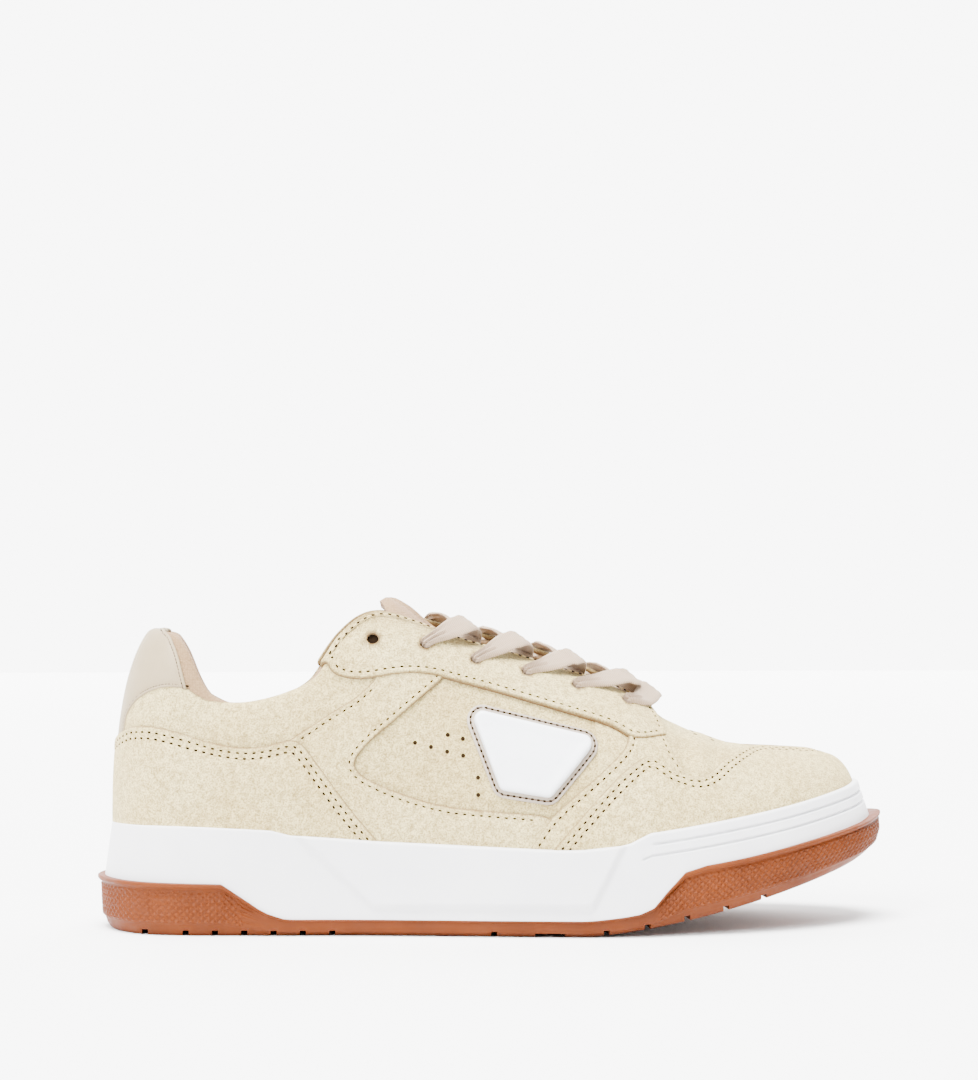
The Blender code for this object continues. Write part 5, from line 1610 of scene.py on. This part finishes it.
def band_mesh(points, faces, bands, path, ups, acrosses, widths, thicknesses, folds):
    """Add one flat woven band along a path; bands collects its map: run and place across, in metres."""
    around = 28
    first = len(points)
    run = 0.0
    for i, (point, up, across) in enumerate(zip(path, ups, acrosses)):
        if i:
            run += (point - path[i - 1]).length
        for k in range(around):
            turn = 2 * math.pi * k / around
            a = math.copysign(abs(math.cos(turn)) ** 0.75, math.cos(turn))
            b = math.copysign(abs(math.sin(turn)) ** 0.70, math.sin(turn))
            wrinkle = folds[i] * (math.cos(3.1 * math.pi * a) + 0.35 * math.cos(6.3 * math.pi * a + 1.0))
            points.append(point + across * (widths[i] / 2 * a) + up * (thicknesses[i] / 2 * b + wrinkle))
            bands.append((run, a * LACE_WIDTH / 2))
    rows = len(path)
    for i in range(rows - 1):
        for k in range(around):
            a, b = first + i * around + k, first + i * around + (k + 1) % around
            faces.append([a, b, b + around, a + around])
    faces.append([first + k for k in range(around)][::-1])
    faces.append([first + (rows - 1) * around + k for k in range(around)])


# How far along the shoe a crossing has come, for how far it has come across
CROSSING = ((0.0, 0.09, 0.18, 0.30, 0.5, 0.82, 1.0), (0.0, 0.36, 0.68, 0.96, 1.08, 1.0, 1.0))
RISE = 8                 # samples that come straight up through the eyelet
LACE_ARCH = 4.2 * MM     # how high a crossing from the outer side stands over its eyestay
LACE_GATHER = (0.5 * MM, 7.0 * MM)    # how far from its eyelet the lace opens to its full width


def band_run(ends, over_tongue, bow=0.0):
    """One crossing: up through its eyelet, over the eyestay and tongue, and under the far eyestay.

    With a bow it is the foremost bar, which goes over both eyestays.
    """
    rows = 80
    on_stay = OVERLAP + SUEDE + LACE_THICK / 2 + 0.10 * MM
    below = -UPPER_WALL - LACE_THICK / 2 - 0.3 * MM
    (s0, a0), (s1, a1) = ends
    total = abs(a1 - a0)
    shares = [0.0] * RISE + [(i / rows) ** 1.2 if not bow else i / rows for i in range(rows + 1)]
    if bow:
        shares += [1.0] * RISE
    skin, normals, heights, bunches = [], [], [], []
    for i, t in enumerate(shares):
        signed = a0 + (a1 - a0) * t
        if bow:
            station = s0 + (s1 - s0) * t + bow * (1 - (2 * t - 1) ** 4)
        else:
            station = s0 + (s1 - s0) * smooth(*CROSSING, t)
        side = OUTER if signed < 0 else INNER
        half = top_point(station, side)[1]
        point, normal = signed_form(station, signed)
        from_start, from_end = total * t, total * (1 - t)
        on_tongue = tongue_skin(station, signed) + over_tongue
        outside = float(ease(abs(signed), 0.30 * half, 0.90 * half))
        height = on_tongue + (on_stay - on_tongue) * outside
        starts_here = (signed < 0) == (a0 < 0) or bow
        arch = LACE_ARCH if a0 < 0 else 0.0
        if starts_here:
            height += arch * math.exp(-((abs(signed) - 0.92 * half) / (5.0 * MM)) ** 2)
        if i < RISE:
            height = below + (height - below) * i / RISE
        if bow and i > RISE + rows:
            height = below + (height - below) * (len(shares) - 1 - i) / RISE
        bunch = 1 - float(ease(from_start, *LACE_GATHER))
        if bow:
            bunch = max(bunch, 1 - float(ease(from_end, *LACE_GATHER)))
        else:
            height += (below - height) * float(ease(-from_end, -17.0 * MM, -11.0 * MM))
        skin.append(point)
        normals.append(normal)
        heights.append(height)
        bunches.append(bunch)
    path = [point + normal * height for point, normal, height in zip(skin, normals, heights)]
    ups, acrosses = [], []
    last = len(skin) - 1
    for i, normal in enumerate(normals):
        low, high = max(i - 3, 0), min(i + 3, last)
        low, high = min(low, last - RISE if bow else last), max(high, RISE + 2)
        along = (skin[high] - skin[low]).normalized()
        across = along.cross(normal).normalized()
        run = (path[min(i + 1, last)] - path[max(i - 1, 0)]).normalized()
        acrosses.append(across)
        ups.append(across.cross(run).normalized())
    for _ in range(6):
        inner = [(a + 2 * b + c).normalized() for a, b, c in zip(acrosses, acrosses[1:], acrosses[2:])]
        acrosses = acrosses[:1] + inner + acrosses[-1:]
    widths = [LACE_WIDTH * (1 - 0.55 * bunch) for bunch in bunches]
    thicknesses = [LACE_THICK * (1 + 0.5 * bunch) for bunch in bunches]
    folds = [0.40 * MM * math.sqrt(bunch) + 0.10 * MM for bunch in bunches]
    return path, ups, acrosses, widths, thicknesses, folds


def make_lace():
    """Flat lace through the eyelets: each crossing leaves over one eyestay and goes under the other."""
    spots = {(n, side): eyelet_spot(n, side) for n in range(1, EYELETS) for side in (OUTER, INNER)}

    def place(n, side):
        station, across = spots[n, side]
        return station, side * across

    points, faces, bands = [], [], []
    last = EYELETS - 1
    for n in range(1, last):
        for start_side, height in ((OUTER, 2.7 * MM), (INNER, 0.95 * MM)):
            path = band_run((place(n, start_side), place(n + 1, -start_side)), height)
            band_mesh(points, faces, bands, *path)
    path = band_run((place(last, OUTER), place(last, INNER)), 1.2 * MM, 0.026)
    band_mesh(points, faces, bands, *path)
    lace = piece_from("woven_flat_lace", points, faces, "lace", ("lace",), 0.0, 60)
    layer = lace.data.uv_layers.new(name="band")
    for polygon in lace.data.polygons:
        for loop in polygon.loop_indices:
            layer.data[loop].uv = bands[lace.data.loops[loop].vertex_index]
    return lace


# Floor, light and camera

FLOOR_PAPER = "#E9E9E9"
BACKDROP_GLOW = 8.1
ROOM_LIGHT = 1.0
BACKDROP_AT = 3.5            # metres behind the shoe

CAMERA_TURN = math.radians(-5.4)     # the camera stands a little towards the heel
CAMERA_DISTANCE = 1.0
CAMERA_HEIGHT = 0.1207
PHOTO = (978, 1080)                  # pixels
FOCAL_PIXELS = 2668
HORIZON_ROW = 600
TARGET_LEFT = 2.7 * MM
SENSOR = 36.0


def plain_sheet(name, size, place, turn, **values):
    bpy.ops.object.select_all(action="DESELECT")
    bpy.ops.mesh.primitive_plane_add(size=size, location=place, rotation=turn)
    sheet = bpy.context.active_object
    sheet.name = name
    made = start_material(name + "_paper", **values)[0]
    sheet.data.materials.append(made)


def make_stage():
    """Pale paper on the floor, and a lit paper wall behind it."""
    plain_sheet("floor", 12.0, (0, 0, 0), (0, 0, 0), Roughness=0.9, Base_Color=linear(FLOOR_PAPER),
                Specular_IOR_Level=0.0)
    plain_sheet("backdrop", 14.0, (0, BACKDROP_AT, 0), (math.pi / 2, 0, 0), Roughness=0.9,
                Base_Color=linear("#202020"), Emission_Color=linear("#FFFFFF"),
                Emission_Strength=BACKDROP_GLOW)
    world = bpy.context.scene.world or bpy.data.worlds.new("studio")
    bpy.context.scene.world = world
    world.use_nodes = True
    background = world.node_tree.nodes.get("Background")
    background.inputs["Color"].default_value = linear("#FFFFFF")
    background.inputs["Strength"].default_value = ROOM_LIGHT


def make_sun(name, towards, strength, softness):
    """Wide, far light: even over the whole floor, with the soft shadow of a large softbox."""
    light = bpy.data.lights.new(name, "SUN")
    light.energy = strength
    light.angle = math.radians(softness)
    obj = bpy.data.objects.new(name, light)
    bpy.context.scene.collection.objects.link(obj)
    obj.location = Vector(towards) * 2
    obj.rotation_euler = Vector(towards).to_track_quat("Z", "Y").to_euler()


def make_camera():
    camera = bpy.data.cameras.new("camera")
    obj = bpy.data.objects.new("camera", camera)
    bpy.context.scene.collection.objects.link(obj)
    bpy.context.scene.camera = obj
    right = Vector((math.cos(CAMERA_TURN), math.sin(CAMERA_TURN), 0))
    forward = Vector((-math.sin(CAMERA_TURN), math.cos(CAMERA_TURN), 0))
    obj.location = forward * -CAMERA_DISTANCE - right * TARGET_LEFT + Vector((0, 0, CAMERA_HEIGHT))
    obj.rotation_euler = (math.pi / 2, 0, CAMERA_TURN)
    camera.sensor_width = SENSOR
    camera.lens = FOCAL_PIXELS * SENSOR / max(PHOTO)
    camera.shift_y = (HORIZON_ROW - PHOTO[1] / 2) / max(PHOTO)
    camera.clip_start, camera.clip_end = 0.01, 50.0


make_camera()
make_stage()
make_sun("overhead_softbox", (-0.10, -0.22, 1.0), 20.0, 32)
make_sun("key_softbox", (-0.75, -0.85, 0.75), 8.0, 30)
make_upper_shell()
make_footbed()
make_underlays()
make_collar_panels()
make_tab()
make_quarters()
make_straps()
make_eyestays()
make_guard()
make_counter()
make_plates()
make_holes()
make_cup()
make_outsole()
make_tongue()
make_lace()
make_threads()
